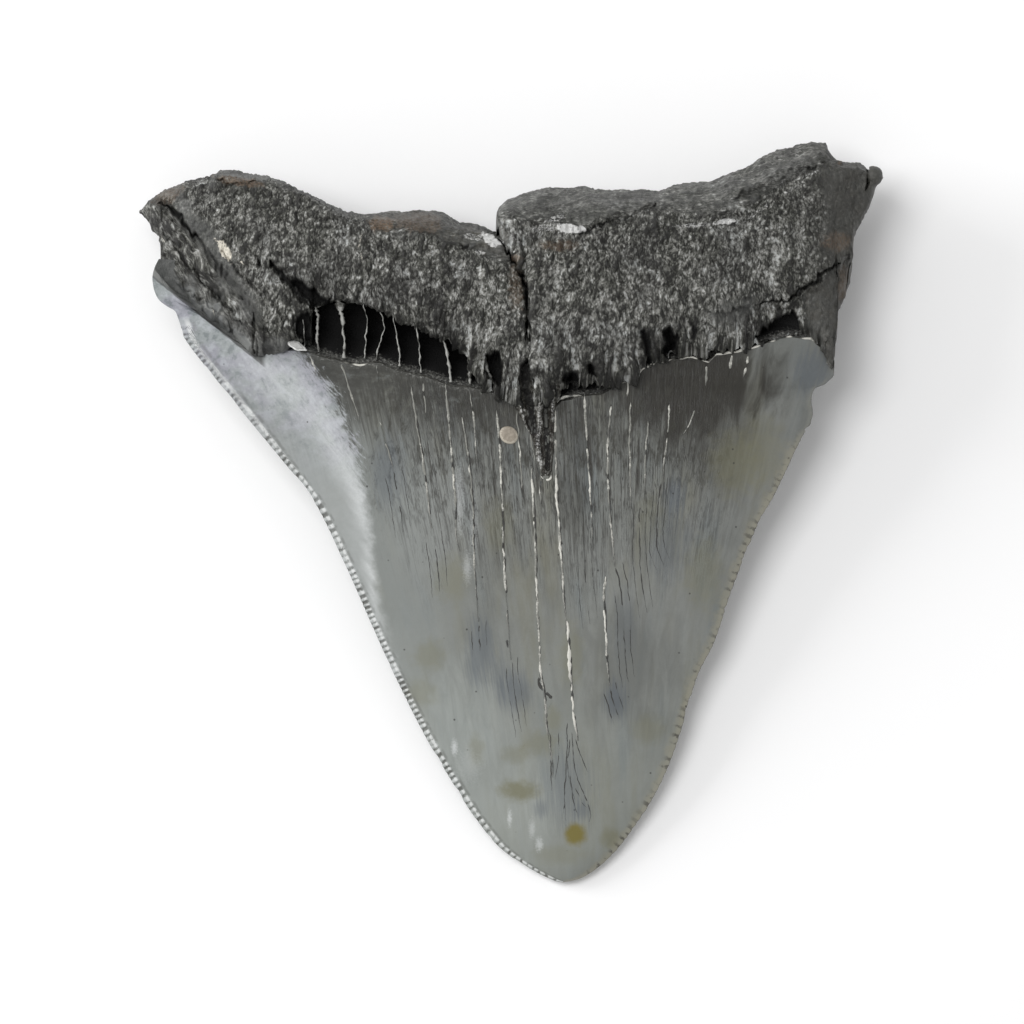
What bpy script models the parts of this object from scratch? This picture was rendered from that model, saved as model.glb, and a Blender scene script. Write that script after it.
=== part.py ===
"""Fossil megalodon tooth, lying on its lingual (inner) face with the labial (outer) face up.

The blade points along -Y and the root lies towards +Y. Z is up, and the tooth rests on Z = 0
on the worn flat of its root bulge and on its tip. Lengths below are in millimetres and are
turned into metres where a mesh is made.
"""
import math

import bmesh
import bpy
from mathutils import Vector, noise

MM = 0.001

# ---------------------------------------------------------------- driving dimensions (mm)
TIP = (6.6, -46.4)                  # the point of the blade
BLADE_RISE = 0.165                  # climb of the cutting edge per millimetre from tip to root
TIP_HEIGHT = 1.2                    # height of the cutting edge at the tip
SERRATION_PITCH = 0.85
SERRATION_DEPTH = 0.32
LOBE_LIFT = 7.0                     # how far the lobes' backs rise above the resting face
WEAR = 0.45                         # how much of the lingual bulge is worn flat
TIP_WEAR = 0.08                     # the same at the tip
ROOT_LUMPS = 0.5                    # height of the lumps on the weathered root
ENAMEL_EDGE_DROP = 2.6              # the labial face stands this far above the cutting edge
TIP_SMOOTH = 3.0                    # the edges have no serrations this close to the tip
CROWN_ROWS, CROWN_COLUMNS = 38, 13
CORE_HEIGHT = 25.0                  # above every surface: where cutters start

# Left cutting edge, from the root's shoulder to the tip. The serrations start this far down it.
LEFT_SMOOTH = 6.5
LEFT_EDGE = [(-44.8, 29.4), (-44.6, 27.4), (-43.4, 25.8), (-41.8, 24.8), (-41.3, 23.0),
             (-36.9, 16.4), (-28.7, 6.4), (-24.8, 1.4), (-21.1, -6.1), (-17.8, -13.6),
             (-14.4, -21.1), (-10.6, -28.6), (-6.1, -36.1), (-2.2, -41.1), (2.0, -44.5), TIP]
# Right cutting edge, likewise.
RIGHT_SMOOTH = 16.0
RIGHT_EDGE = [(39.7, 26.0), (40.2, 21.0), (40.3, 17.0), (37.6, 11.6), (34.8, 6.3), (32.0, 0.9),
              (29.9, -3.6), (27.3, -10.3), (25.4, -16.1), (23.2, -20.6), (21.1, -27.6),
              (19.2, -32.8), (17.1, -36.8), (14.7, -40.2), (11.0, -44.0), TIP]

# Root halves at stations along X: X, then the Y of the top outline, of the ridge of the labial
# face, of the brow over the crown's edge and of the lower lip, then the heights of the last three.
LEFT_ROOT = [(-46.5, 38.7, 38.4, 37.6, 37.1, 10.6, 10.0, 9.4),
             (-45.5, 39.6, 38.8, 37.0, 35.6, 12.0, 11.6, 10.6),
             (-44.5, 40.4, 39.2, 35.4, 33.8, 13.2, 12.8, 11.4),
             (-43.9, 40.9, 39.5, 31.0, 28.8, 14.0, 13.4, 12.2),
             (-41.0, 41.8, 40.0, 28.8, 26.6, 15.4, 14.6, 13.4),
             (-36.0, 42.8, 41.0, 25.6, 23.4, 17.0, 16.2, 14.6),
             (-31.0, 42.2, 40.6, 24.0, 20.4, 18.0, 16.8, 14.8),
             (-26.0, 40.2, 38.8, 26.0, 20.0, 18.6, 17.2, 14.6),
             (-20.0, 37.3, 36.0, 26.2, 19.0, 18.8, 17.2, 14.5),
             (-12.0, 37.6, 35.2, 23.6, 17.9, 18.8, 17.0, 14.4),
             (-5.0, 35.7, 34.2, 18.8, 15.8, 18.6, 16.6, 14.6),
             (0.0, 32.4, 31.0, 16.4, 14.8, 18.2, 16.0, 14.6),
             (2.3, 27.8, 27.0, 15.8, 14.3, 17.4, 15.6, 14.4)]
RIGHT_ROOT = [(-1.7, 38.2, 35.9, 35.3, 34.7, 18.8, 18.5, 18.0),
              (0.2, 39.3, 36.4, 33.2, 32.0, 19.3, 18.8, 17.6),
              (1.6, 39.8, 36.6, 28.6, 27.4, 19.5, 18.6, 17.0),
              (2.4, 39.9, 36.6, 16.2, 14.4, 19.6, 17.0, 14.8),
              (5.0, 40.2, 36.5, 15.6, 14.2, 19.8, 16.8, 14.6),
              (10.0, 40.8, 36.2, 16.8, 15.2, 20.0, 16.8, 14.6),
              (17.0, 40.3, 36.6, 20.2, 18.4, 19.8, 16.8, 14.8),
              (24.0, 41.8, 36.2, 20.6, 18.8, 19.2, 16.6, 14.8),
              (30.0, 43.3, 38.2, 22.8, 20.6, 18.4, 16.2, 14.4),
              (35.0, 45.3, 41.0, 25.4, 22.0, 17.2, 15.6, 13.6),
              (38.6, 46.4, 43.1, 24.6, 20.6, 16.0, 14.8, 12.8),
              (40.3, 44.1, 42.7, 24.6, 19.6, 14.8, 13.8, 12.4),
              (41.6, 44.0, 42.6, 29.6, 27.0, 14.2, 13.2, 12.2),
              (42.6, 43.8, 42.4, 33.6, 32.4, 13.6, 12.8, 12.0),
              (44.3, 42.8, 41.8, 38.2, 37.4, 12.6, 12.2, 11.4),
              (45.6, 43.1, 42.2, 40.8, 40.2, 11.8, 11.4, 10.8),
              (46.4, 42.7, 42.4, 42.0, 41.8, 10.8, 10.6, 10.4)]
LEFT_HALF_STATIONS = 33
RIGHT_HALF_STATIONS = 35

# Fins of mineral across the hollow: X at the top, middle and bottom, the Y of top and bottom,
# and the thickness. The hollow's chambers are the gaps between neighbouring fins.
FINS = [(-27.6, -28.0, -28.4, 25.2, 21.9, 0.3),
        (-24.4, -24.4, -24.2, 25.2, 20.4, 0.55),
        (-21.4, -21.2, -21.1, 26.4, 19.5, 0.7),
        (-18.6, -18.1, -18.3, 26.0, 19.5, 0.35),
        (-16.6, -16.1, -16.8, 25.4, 19.5, 0.35),
        (-14.9, -14.4, -14.1, 24.9, 18.9, 0.4),
        (-11.8, -11.7, -11.5, 23.4, 18.0, 0.4),
        (-8.5, -8.0, -7.6, 21.2, 17.0, 0.6),
        (-5.4, -5.3, -5.1, 19.4, 16.2, 0.5)]
HOLLOW_FLOOR = 11.6                 # height of the hollow's floor
HOLLOW_UNDERCUT = 1.8               # how far the floor runs in under the root's plate

# Foramina and voids beside the crown's edge: X, Y, half width, half height, floor height.
VOIDS = [(-2.2, 17.9, 0.95, 1.9, 11.5), (1.9, 15.8, 0.8, 2.6, 12.6), (7.6, 16.4, 0.95, 1.2, 11.5),
         (9.9, 17.7, 0.5, 1.2, 12.2), (16.9, 20.8, 0.8, 2.2, 13.0), (19.8, 21.3, 1.2, 2.0, 11.8),
         (-31.6, 31.2, 0.7, 0.9, 13.2), (-36.5, 26.8, 0.6, 0.7, 12.2)]
SIDE_HOLLOW = [(31.4, 23.2), (33.2, 25.0), (35.6, 25.6), (36.2, 23.4), (34.0, 22.5)]
LEFT_HOLLOW = [(-28.4, 29.2), (-25.8, 29.2), (-22.4, 28.4), (-22.0, 26.2), (-24.6, 26.0)]

# Open cracks, each as the points of its path, its width at the top, and its depth.
CRACKS = [([(-2.0, 36.4), (-0.2, 33.4), (1.3, 30.4), (2.0, 28.0), (1.8, 24.0), (1.9, 20.6)], 0.7, 6.0),
          ([(-45.3, 39.2), (-42.6, 38.0), (-40.6, 35.6), (-38.0, 32.6), (-35.6, 28.8)], 0.6, 2.4),
          ([(-30.0, 30.8), (-28.0, 28.8), (-25.6, 26.4)], 0.7, 3.0),
          ([(8.6, 36.6), (12.0, 36.4), (15.2, 36.5), (18.0, 37.2)], 0.6, 1.6),
          ([(40.9, 31.2), (38.6, 29.4), (36.6, 27.4), (34.8, 26.4)], 0.6, 2.2),
          ([(44.9, 43.4), (44.3, 41.8), (43.4, 40.2)], 0.4, 2.0)]

# Broken ledges of the labial face: two points of the line, how far the ground on the right of it
# (going from the first to the second) lies lower, and how far from the line that reaches.
LEDGES = [((-27.5, 21.0), (-46.0, 40.6), -1.5, 14.0), ((33.0, 24.6), (44.0, 34.0), 1.7, 9.0)]

# Splinters of root that run down over the enamel: X and Y of the root end, X and Y of the point,
# half width, rise.
SPLINTERS = [(3.4, 17.5, 4.2, 4.4, 1.3, 1.7), (5.0, 17.0, 5.3, 6.6, 0.7, 1.4),
             (1.9, 17.4, 2.6, 9.6, 0.8, 1.3), (6.6, 17.6, 6.4, 12.2, 0.6, 1.2),
             (-0.6, 18.0, 0.2, 12.8, 0.8, 1.3), (-3.8, 17.8, -3.6, 13.6, 0.7, 1.2)]

# Knobs on the root: X, Y, height of the middle, radius.
KNOBS = [(23.6, 20.0, 14.6, 0.95), (-29.6, 21.2, 14.8, 1.5), (45.2, 42.1, 11.2, 1.2)]

# Small crusts: X, Y, half lengths, turn in degrees, rise above what it grows on.
OVAL_CRUST = (-0.4, 9.6, 1.25, 1.1, 20.0, 0.35)
WHITE_CHIP = (-26.9, 20.8, 1.35, 0.7, -25.0, 1.0)

# A bite broken out of the right cutting edge just below the root, seen from above.
EDGE_BITE = [(41.5, 15.6), (40.3, 16.3), (37.5, 15.3), (37.6, 12.8), (37.2, 10.9), (39.5, 8.0), (43.0, 10.0)]

FORAMEN = (3.0, 22.5, 0.9, 3.2)     # nutrient hole in the lingual bulge: X, Y, radius, depth


# ---------------------------------------------------------------- curves and heights
def between(stations, x):
    """The stations' values at x, on a smooth curve through them."""
    xs = [row[0] for row in stations]
    x = min(max(x, xs[0]), xs[-1])
    i = max(k for k in range(len(xs) - 1) if xs[k] <= x)

    def slope(k, column):
        low, high = max(k - 1, 0), min(k + 1, len(xs) - 1)
        return (stations[high][column] - stations[low][column]) / (xs[high] - xs[low])

    span = xs[i + 1] - xs[i]
    t = (x - xs[i]) / span
    values = []
    for column in range(1, len(stations[0])):
        a, b = stations[i][column], stations[i + 1][column]
        start, end = slope(i, column) * span, slope(i + 1, column) * span
        values.append(a * (2 * t**3 - 3 * t**2 + 1) + b * (3 * t**2 - 2 * t**3)
                      + start * (t**3 - 2 * t**2 + t) + end * (t**3 - t**2))
    return values


def spline(points, per_span=8):
    """A smooth line (Catmull-Rom) through flat points, as a list of Vectors."""
    padded = [points[0]] + list(points) + [points[-1]]
    line = []
    for i in range(1, len(padded) - 2):
        a, b, c, d = (Vector(p) for p in padded[i - 1:i + 3])
        for step in range(per_span):
            t = step / per_span
            line.append(0.5 * (2 * b + (c - a) * t + (2 * a - 5 * b + 4 * c - d) * t**2
                               + (3 * b - a - 3 * c + d) * t**3))
    line.append(Vector(points[-1]))
    return line


def at_length(line, distance):
    """The point and the direction of a line at a distance along it."""
    for start, end in zip(line, line[1:]):
        step = (end - start).length
        if distance <= step:
            return start.lerp(end, distance / step), (end - start).normalized()
        distance -= step
    return line[-1].copy(), (line[-1] - line[-2]).normalized()


def length_of(line):
    return sum((b - a).length for a, b in zip(line, line[1:]))


LEFT_LINE = spline(LEFT_EDGE)
RIGHT_LINE = spline(RIGHT_EDGE)


def edge_height(y):
    """Height of the cutting edge's middle."""
    return TIP_HEIGHT + BLADE_RISE * (y - TIP[1])


def labial_bulge(y, half_width):
    """How far the labial face stands above the cutting edge on the midline."""
    full = ENAMEL_EDGE_DROP * (0.35 + 0.65 * min(1.0, (y - TIP[1]) / 60.0))
    return min(full, 0.22 * half_width)


def lingual_bulge(y, half_width):
    """How far the lingual face hangs below the cutting edge on the midline."""
    arch = 0.8 * math.sin(math.pi * min(max((y + 42.0) / 56.0, 0.0), 1.0))
    return min(edge_height(y) - arch + TIP_WEAR, 0.55 * half_width)


def blade_profile(u):
    """Share of the bulge at u, where u runs from -1 to 1 across the blade."""
    return max(0.0, 1.0 - abs(u) ** 2.6)


def crown_top(x, y):
    """Height of the labial enamel over a point, from the blade's width there."""
    left = min(LEFT_LINE, key=lambda p: abs(p.y - y)).x
    right = min(RIGHT_LINE, key=lambda p: abs(p.y - y)).x
    half = (right - left) / 2
    u = (x - (left + right) / 2) / half
    return edge_height(y) + labial_bulge(y, half) * blade_profile(u)


# ---------------------------------------------------------------- mesh helpers
def new_object(name, mesh_data, collection):
    mesh = bpy.data.meshes.new(name)
    bmesh.ops.triangulate(mesh_data, faces=mesh_data.faces)
    bmesh.ops.recalc_face_normals(mesh_data, faces=mesh_data.faces)
    mesh_data.to_mesh(mesh)
    mesh_data.free()
    thing = bpy.data.objects.new(name, mesh)
    collection.objects.link(thing)
    return thing


def new_tool(name, mesh_data):
    """An object that only joins or cuts: hidden from renders and left out of the part."""
    tool = new_object(name, mesh_data, tools)
    tool.hide_render = True
    tool.display_type = 'WIRE'
    return tool


def add_loft(mesh_data, loops):
    """Add a closed body through loops of equally many points, in millimetres."""
    rings = [[mesh_data.verts.new(Vector(p) * MM) for p in loop] for loop in loops]
    for ring, following in zip(rings, rings[1:]):
        for i in range(len(ring)):
            j = (i + 1) % len(ring)
            mesh_data.faces.new((ring[i], ring[j], following[j], following[i]))
    mesh_data.faces.new(rings[0][::-1])
    mesh_data.faces.new(rings[-1])


def add_well(mesh_data, outline, floor, undercut=0.0, taper=0.85):
    """Add a cutter with a flat outline that narrows down to its floor and slants towards +Y."""
    middle = Vector((sum(p[0] for p in outline), sum(p[1] for p in outline))) / len(outline)
    top = [(x, y, CORE_HEIGHT) for x, y in outline]
    rim = [(x, y, floor + 4.5) for x, y in outline]
    base = []
    for x, y in outline:
        inner = middle.lerp(Vector((x, y)), taper)
        base.append((inner.x, inner.y + undercut, floor))
    add_loft(mesh_data, [top, rim, base])


def oval(x, y, half_x, half_y, sides=8, turn=0.0):
    """Points of an ellipse, turned by degrees."""
    points = []
    for k in range(sides):
        angle = 2 * math.pi * k / sides
        dx, dy = half_x * math.cos(angle), half_y * math.sin(angle)
        c, s = math.cos(math.radians(turn)), math.sin(math.radians(turn))
        points.append((x + dx * c - dy * s, y + dx * s + dy * c))
    return points


def join_or_cut(target, tool, operation):
    modifier = target.modifiers.new(f"{operation.lower()} {tool.name}", 'BOOLEAN')
    modifier.operation = operation
    modifier.object = tool
    modifier.solver = 'EXACT'


def roughen(point, strength, size):
    """Move a point by smooth noise whose lumps are about size millimetres across."""
    place = point / size
    shift = Vector([noise.noise(place + Vector((0.0, 0.0, 31.7 * axis))) for axis in range(3)])
    return point + shift * strength


# ---------------------------------------------------------------- the crown
def serrated(line, smooth, side):
    """Points of a cutting edge: smooth at both ends, with a notch in every pitch between."""
    points = []
    length = length_of(line)
    distance = 0.0
    while distance < length - SERRATION_PITCH:
        toothed = smooth < distance < length - TIP_SMOOTH
        p, along = at_length(line, distance)
        points.append(p)
        distance += SERRATION_PITCH * (0.5 if toothed else 1.0)
        if toothed:
            p, along = at_length(line, distance)
            points.append(p + Vector((-along.y, along.x)) * side * SERRATION_DEPTH)
            distance += SERRATION_PITCH * 0.5
    return points


def add_strip(mesh_data, first, second):
    """Triangles between two rows of vertices of unequal number that run the same way."""
    def shares(row):
        steps = [0.0]
        for a, b in zip(row, row[1:]):
            steps.append(steps[-1] + (b.co - a.co).length)
        return [step / steps[-1] for step in steps] + [2.0]

    first_shares, second_shares = shares(first), shares(second)
    i = j = 0
    while i < len(first) - 1 or j < len(second) - 1:
        if first_shares[i + 1] <= second_shares[j + 1]:
            mesh_data.faces.new((first[i], second[j], first[i + 1]))
            i += 1
        else:
            mesh_data.faces.new((first[i], second[j], second[j + 1]))
            j += 1


def crown():
    """The enamelled blade: a lofted core between two knife edges with serrations."""
    mesh_data = bmesh.new()

    def vertex(x, y, z):
        return mesh_data.verts.new(Vector((x, y, z)) * MM)

    us = [0.93 * math.sin(math.pi / 2 * (2 * k / (CROWN_COLUMNS - 1) - 1)) for k in range(CROWN_COLUMNS)]
    left_length, right_length = length_of(LEFT_LINE), length_of(RIGHT_LINE)
    labial, lingual = [], []
    for row in range(CROWN_ROWS):
        share = 0.975 * row / (CROWN_ROWS - 1)
        left, _ = at_length(LEFT_LINE, share * left_length)
        right, _ = at_length(RIGHT_LINE, share * right_length)
        half = (right - left).length / 2
        labial.append([])
        lingual.append([])
        for u in us:
            p = left.lerp(right, (u + 1) / 2)
            z, profile = edge_height(p.y), blade_profile(u)
            labial[-1].append(vertex(p.x, p.y, z + labial_bulge(p.y, half) * profile))
            lingual[-1].append(vertex(p.x, p.y, z - lingual_bulge(p.y, half) * profile))
    tip = vertex(TIP[0], TIP[1], edge_height(TIP[1]))
    left_rim = [vertex(p.x, p.y, edge_height(p.y)) for p in serrated(LEFT_LINE, LEFT_SMOOTH, 1)] + [tip]
    right_rim = [vertex(p.x, p.y, edge_height(p.y)) for p in serrated(RIGHT_LINE, RIGHT_SMOOTH, -1)] + [tip]

    for face in (labial, lingual):
        for row, following in zip(face, face[1:]):
            for k in range(CROWN_COLUMNS - 1):
                mesh_data.faces.new((row[k], row[k + 1], following[k + 1], following[k]))
        add_strip(mesh_data, left_rim, [row[0] for row in face])
        add_strip(mesh_data, right_rim, [row[-1] for row in face])
        mesh_data.faces.new(face[-1] + [tip])
    mesh_data.faces.new([left_rim[0]] + labial[0] + [right_rim[0]] + lingual[0][::-1])
    return mesh_data


# ---------------------------------------------------------------- the root
def bulge_lift(x):
    """Height of the root's back: flat on the ground in the middle, rising to the lobes."""
    reach = max(0.0, (abs(x) - 20.0) / 26.0)
    return LOBE_LIFT * reach ** 1.3 - WEAR


def ledge_drop(x, y):
    """How far the labial face lies lower at a point because a layer has broken off."""
    drop = 0.0
    for start, end, step, reach in LEDGES:
        along = (Vector(end) - Vector(start)).normalized()
        off = Vector((x, y)) - Vector(start)
        beside = (off.x * along.y - off.y * along.x) * math.copysign(1.0, step)
        if 0.0 < beside < reach and off.dot(along) > -1.0:
            drop += abs(step) * min(1.0, beside / 0.9) * min(1.0, (reach - beside) / 5.0)
    return drop


def root_section(x, station):
    """Corners of one closed section of the root across X, as (y, z) pairs."""
    top, ridge, brow, lip, ridge_z, brow_z, lip_z = station
    lift = bulge_lift(x)
    to_end = min(1.0, max(0.0, (abs(x) - 34.0) / 8.0))
    band = min(9.5 + 0.34 * abs(x - 3.0), lip)          # lower edge of the lingual bulge
    band += (lip - band) * to_end
    edge_z = (ridge_z + lift) / 2
    heel = min(1.6, 0.35 * (lip_z - lift))
    return [
        (lip, lip_z),
        (brow - 0.45, lip_z + 0.3 * (brow_z - lip_z)),
        (brow, brow_z),
        (brow + 0.35 * (ridge - brow), brow_z + 0.6 * (ridge_z - brow_z) + 0.2),
        (brow + 0.7 * (ridge - brow), brow_z + 0.9 * (ridge_z - brow_z) + 0.3),
        (ridge, ridge_z),
        (ridge + 0.5 * (top - ridge), ridge_z - 0.18 * (ridge_z - edge_z)),
        (top, edge_z),
        (top - 0.08 * (top - band), lift + 0.45 * (edge_z - lift)),
        (top - 0.22 * (top - band), lift + 0.4 * heel),
        (top - 0.42 * (top - band), lift),
        (band + 0.28 * (top - band), lift),
        (band + 0.08 * (top - band), lift + 0.4 * heel),
        (band, lift + heel),
        (min(band + 2.5, lip), 0.5 * (lift + lip_z)),
    ]


SECTION_PIECES = [2, 1, 2, 3, 3, 1, 2, 2, 1, 2, 3, 1, 1, 2, 1]    # edges between the corners
LABIAL_CORNERS = 6                  # the first corners belong to the labial face


def root_half(stations, count):
    """One half of the root, lofted along X and roughened."""
    first, last = stations[0][0], stations[-1][0]
    loops = []
    for k in range(count):
        x = first + (last - first) * k / (count - 1)
        calm = min(1.0, (min(x - first, last - x) + 0.4) / 5.0)     # the ends are smoother
        loop = []
        corners = [Vector(corner) for corner in root_section(x, between(stations, x))]
        for k, (a, b, pieces) in enumerate(zip(corners, corners[1:] + corners[:1], SECTION_PIECES)):
            for step in range(pieces):
                y, z = a.lerp(b, step / pieces)
                if k < LABIAL_CORNERS:
                    z -= min(ledge_drop(x, y), 0.25 * (z - bulge_lift(x)))
                lumps = ROOT_LUMPS * calm * min(1.0, max(0.15, z / 4.0))
                loop.append(roughen(roughen(Vector((x, y, z)), lumps, 4.0), lumps / 2, 1.9))
        loops.append(loop)
    mesh_data = bmesh.new()
    add_loft(mesh_data, loops)
    return mesh_data


def add_splinter(mesh_data, start, point, half_width, rise):
    """A tapering splinter of root on the enamel."""
    loops = []
    for share in (0.0, 0.35, 0.7, 1.0):
        x, y = start.lerp(point, share)
        width = half_width * (1.0 - 0.85 * share ** 1.5)
        base = crown_top(x, y)
        height = rise * (1.0 - 0.75 * share)
        loops.append([(x - width, y, base - 1.2), (x - width * 0.8, y, base + height * 0.6),
                      (x, y, base + height), (x + width * 0.8, y, base + height * 0.5),
                      (x + width, y, base - 1.2)])
    add_loft(mesh_data, loops)


def knob(x, y, z, radius):
    """A rounded lump of root."""
    mesh_data = bmesh.new()
    bmesh.ops.create_icosphere(mesh_data, subdivisions=2, radius=radius)
    for vert in mesh_data.verts:
        vert.co = roughen(vert.co + Vector((x, y, z)), radius * 0.5, radius * 1.6) * MM
    return mesh_data


def crust(x, y, half_x, half_y, turn, rise, base):
    """A lens-shaped crust that grows on a surface at height base."""
    mesh_data = bmesh.new()
    loops = []
    for scale, z in ((1.0, base - 0.8), (1.0, base + 0.45 * rise), (0.75, base + 0.85 * rise),
                     (0.35, base + rise)):
        loops.append([(px, py, z) for px, py in oval(x, y, half_x * scale, half_y * scale, 12, turn)])
    add_loft(mesh_data, loops)
    return mesh_data


# ---------------------------------------------------------------- hollows, pits and cracks
def hollow():
    """The chambers between neighbouring fins, under the left half's lower lip."""
    mesh_data = bmesh.new()
    for left, right in zip(FINS, FINS[1:]):
        half_left, half_right = left[5] / 2, right[5] / 2
        ys_left = (left[3], (left[3] + left[4]) / 2, left[4])
        ys_right = (right[3], (right[3] + right[4]) / 2, right[4])
        left_side = [(x + half_left, y) for x, y in zip(left[:3], ys_left)]
        right_side = [(x - half_right, y) for x, y in zip(right[:3], ys_right)]
        add_well(mesh_data, left_side + right_side[::-1], HOLLOW_FLOOR, HOLLOW_UNDERCUT, 0.9)
    return mesh_data


def voids():
    """Small foramina along the crown's edge, and the larger voids at both sides."""
    mesh_data = bmesh.new()
    for x, y, half_x, half_y, floor in VOIDS:
        add_well(mesh_data, oval(x, y, half_x, half_y), floor, 0.8, 0.7)
    add_well(mesh_data, SIDE_HOLLOW, 11.2, 1.2, 0.8)
    add_well(mesh_data, LEFT_HOLLOW, 12.6, 1.0, 0.8)
    return mesh_data


def cracks(path, width, depth):
    """A V-shaped groove along a path over the labial side."""
    mesh_data = bmesh.new()
    line = [Vector(p) for p in path]
    loops = []
    for k, p in enumerate(line):
        ahead = (line[min(k + 1, len(line) - 1)] - line[max(k - 1, 0)]).normalized()
        across = Vector((-ahead.y, ahead.x)) * width / 2
        share = 0.35 if k in (0, len(line) - 1) else 1.0
        ground = surface_guess(p)
        loops.append([(p.x - across.x * 2, p.y - across.y * 2, ground + 6.0),
                      (p.x - across.x * share, p.y - across.y * share, ground + 0.3),
                      (p.x, p.y, ground - depth * share),
                      (p.x + across.x * share, p.y + across.y * share, ground + 0.3),
                      (p.x + across.x * 2, p.y + across.y * 2, ground + 6.0)])
    add_loft(mesh_data, loops)
    return mesh_data


def surface_guess(p):
    """Height of the root's labial side over a point."""
    stations = RIGHT_ROOT if p.x > 1.0 else LEFT_ROOT
    top, ridge, brow, lip, ridge_z, brow_z, lip_z = between(stations, p.x)
    share = min(max((p.y - brow) / (ridge - brow), 0.0), 1.0)
    return brow_z + (ridge_z - brow_z) * share - ledge_drop(p.x, p.y)


def edge_bite():
    mesh_data = bmesh.new()
    add_loft(mesh_data, [[(x, y, 0.0) for x, y in EDGE_BITE], [(x, y, CORE_HEIGHT) for x, y in EDGE_BITE]])
    return mesh_data


def wear():
    """A slab under Z = 0 that takes the worn flats off the bulge and the tip."""
    mesh_data = bmesh.new()
    corners = [(-60.0, -60.0), (60.0, -60.0), (60.0, 60.0), (-60.0, 60.0)]
    add_loft(mesh_data, [[(x, y, -5.0) for x, y in corners], [(x, y, 0.0) for x, y in corners]])
    return mesh_data


def foramen():
    """The nutrient hole in the lingual bulge, open downwards."""
    x, y, radius, depth = FORAMEN
    mesh_data = bmesh.new()
    loops = [[(px, py, z) for px, py in oval(x, y, radius * scale, radius * scale * 1.3, 10)]
             for scale, z in ((1.0, -1.0), (1.0, depth * 0.6), (0.5, depth))]
    add_loft(mesh_data, loops)
    return mesh_data


# ---------------------------------------------------------------- assembly
def fossil_material():
    material = bpy.data.materials.new("fossil")
    material.use_nodes = True
    shader = material.node_tree.nodes["Principled BSDF"]
    shader.inputs["Base Color"].default_value = (0.16, 0.165, 0.16, 1.0)
    shader.inputs["Roughness"].default_value = 0.5
    shader.inputs["Metallic"].default_value = 0.0
    return material


def clear_scene():
    for thing in list(bpy.data.objects):
        bpy.data.objects.remove(thing, do_unlink=True)


def new_collection(name):
    collection = bpy.data.collections.new(name)
    bpy.context.scene.collection.children.link(collection)
    return collection


clear_scene()
part = new_collection("megalodon tooth")
tools = new_collection("tools")

tooth = new_object("tooth", crown(), part)
tooth.data.materials.append(fossil_material())

x, y = OVAL_CRUST[:2]
growths = [new_tool("root left half", root_half(LEFT_ROOT, LEFT_HALF_STATIONS)),
           new_tool("root right half", root_half(RIGHT_ROOT, RIGHT_HALF_STATIONS)),
           new_tool("oval crust", crust(*OVAL_CRUST, crown_top(x, y)))]
for k, (root_x, root_y, point_x, point_y, half_width, rise) in enumerate(SPLINTERS):
    mesh_data = bmesh.new()
    add_splinter(mesh_data, Vector((root_x, root_y)), Vector((point_x, point_y)), half_width, rise)
    growths.append(new_tool(f"splinter {k}", mesh_data))
growths += [new_tool(f"knob {k}", knob(*place)) for k, place in enumerate(KNOBS)]
cuts = [new_tool("hollow", hollow()), new_tool("voids", voids()),
        new_tool("edge bite", edge_bite()), new_tool("nutrient foramen", foramen()),
        new_tool("wear", wear())]
cuts += [new_tool(f"crack {k}", cracks(*crack)) for k, crack in enumerate(CRACKS)]

for growth in growths:
    join_or_cut(tooth, growth, 'UNION')
for cut in cuts:
    join_or_cut(tooth, cut, 'DIFFERENCE')
chip = new_tool("white chip", crust(*WHITE_CHIP, HOLLOW_FLOOR + 2.4))
join_or_cut(tooth, chip, 'UNION')
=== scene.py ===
"""Looks of a fossil megalodon tooth: an enamelled blade, a weathered root, mineral veins and crusts.

Shapes are worked out in millimetres on flat grids of many points at once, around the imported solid,
and turned into metres where a mesh is made. X runs across the tooth, Y from the point towards the
root, and Z up out of the outer face.
"""
import itertools
from types import SimpleNamespace

import bpy
import numpy as np
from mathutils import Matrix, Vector


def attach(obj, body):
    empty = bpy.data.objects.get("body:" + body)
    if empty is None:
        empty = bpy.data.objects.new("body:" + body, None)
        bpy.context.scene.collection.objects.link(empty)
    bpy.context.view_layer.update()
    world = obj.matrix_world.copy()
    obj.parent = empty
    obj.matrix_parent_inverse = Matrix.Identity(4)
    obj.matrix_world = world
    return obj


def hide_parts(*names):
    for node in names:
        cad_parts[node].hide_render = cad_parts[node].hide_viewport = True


bl_info = {
    "name": "Megalodon Tooth Looks",
    "version": (1, 0, 0),
    "blender": (4, 5, 0),
    "location": "View3D > Sidebar > Tooth",
    "description": "Dresses a fossil megalodon tooth with enamel, root, veins and crusts",
    "category": "Object",
}

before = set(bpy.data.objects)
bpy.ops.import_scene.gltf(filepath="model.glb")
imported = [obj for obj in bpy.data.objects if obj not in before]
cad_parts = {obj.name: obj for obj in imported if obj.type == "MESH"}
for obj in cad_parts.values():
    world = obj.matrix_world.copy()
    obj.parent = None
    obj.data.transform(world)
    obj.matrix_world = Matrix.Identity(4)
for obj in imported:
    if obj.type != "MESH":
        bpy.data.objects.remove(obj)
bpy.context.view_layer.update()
MM = 0.001

# ---------------------------------------------------------------- shapes, in millimetres
TIP = (6.45, -46.42)
BLADE_RISE = 0.165
TIP_HEIGHT = 1.2
ENAMEL_BULGE = 2.6
FACE_POWER = 2.6                            # how squarely both faces round off at the edges

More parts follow.
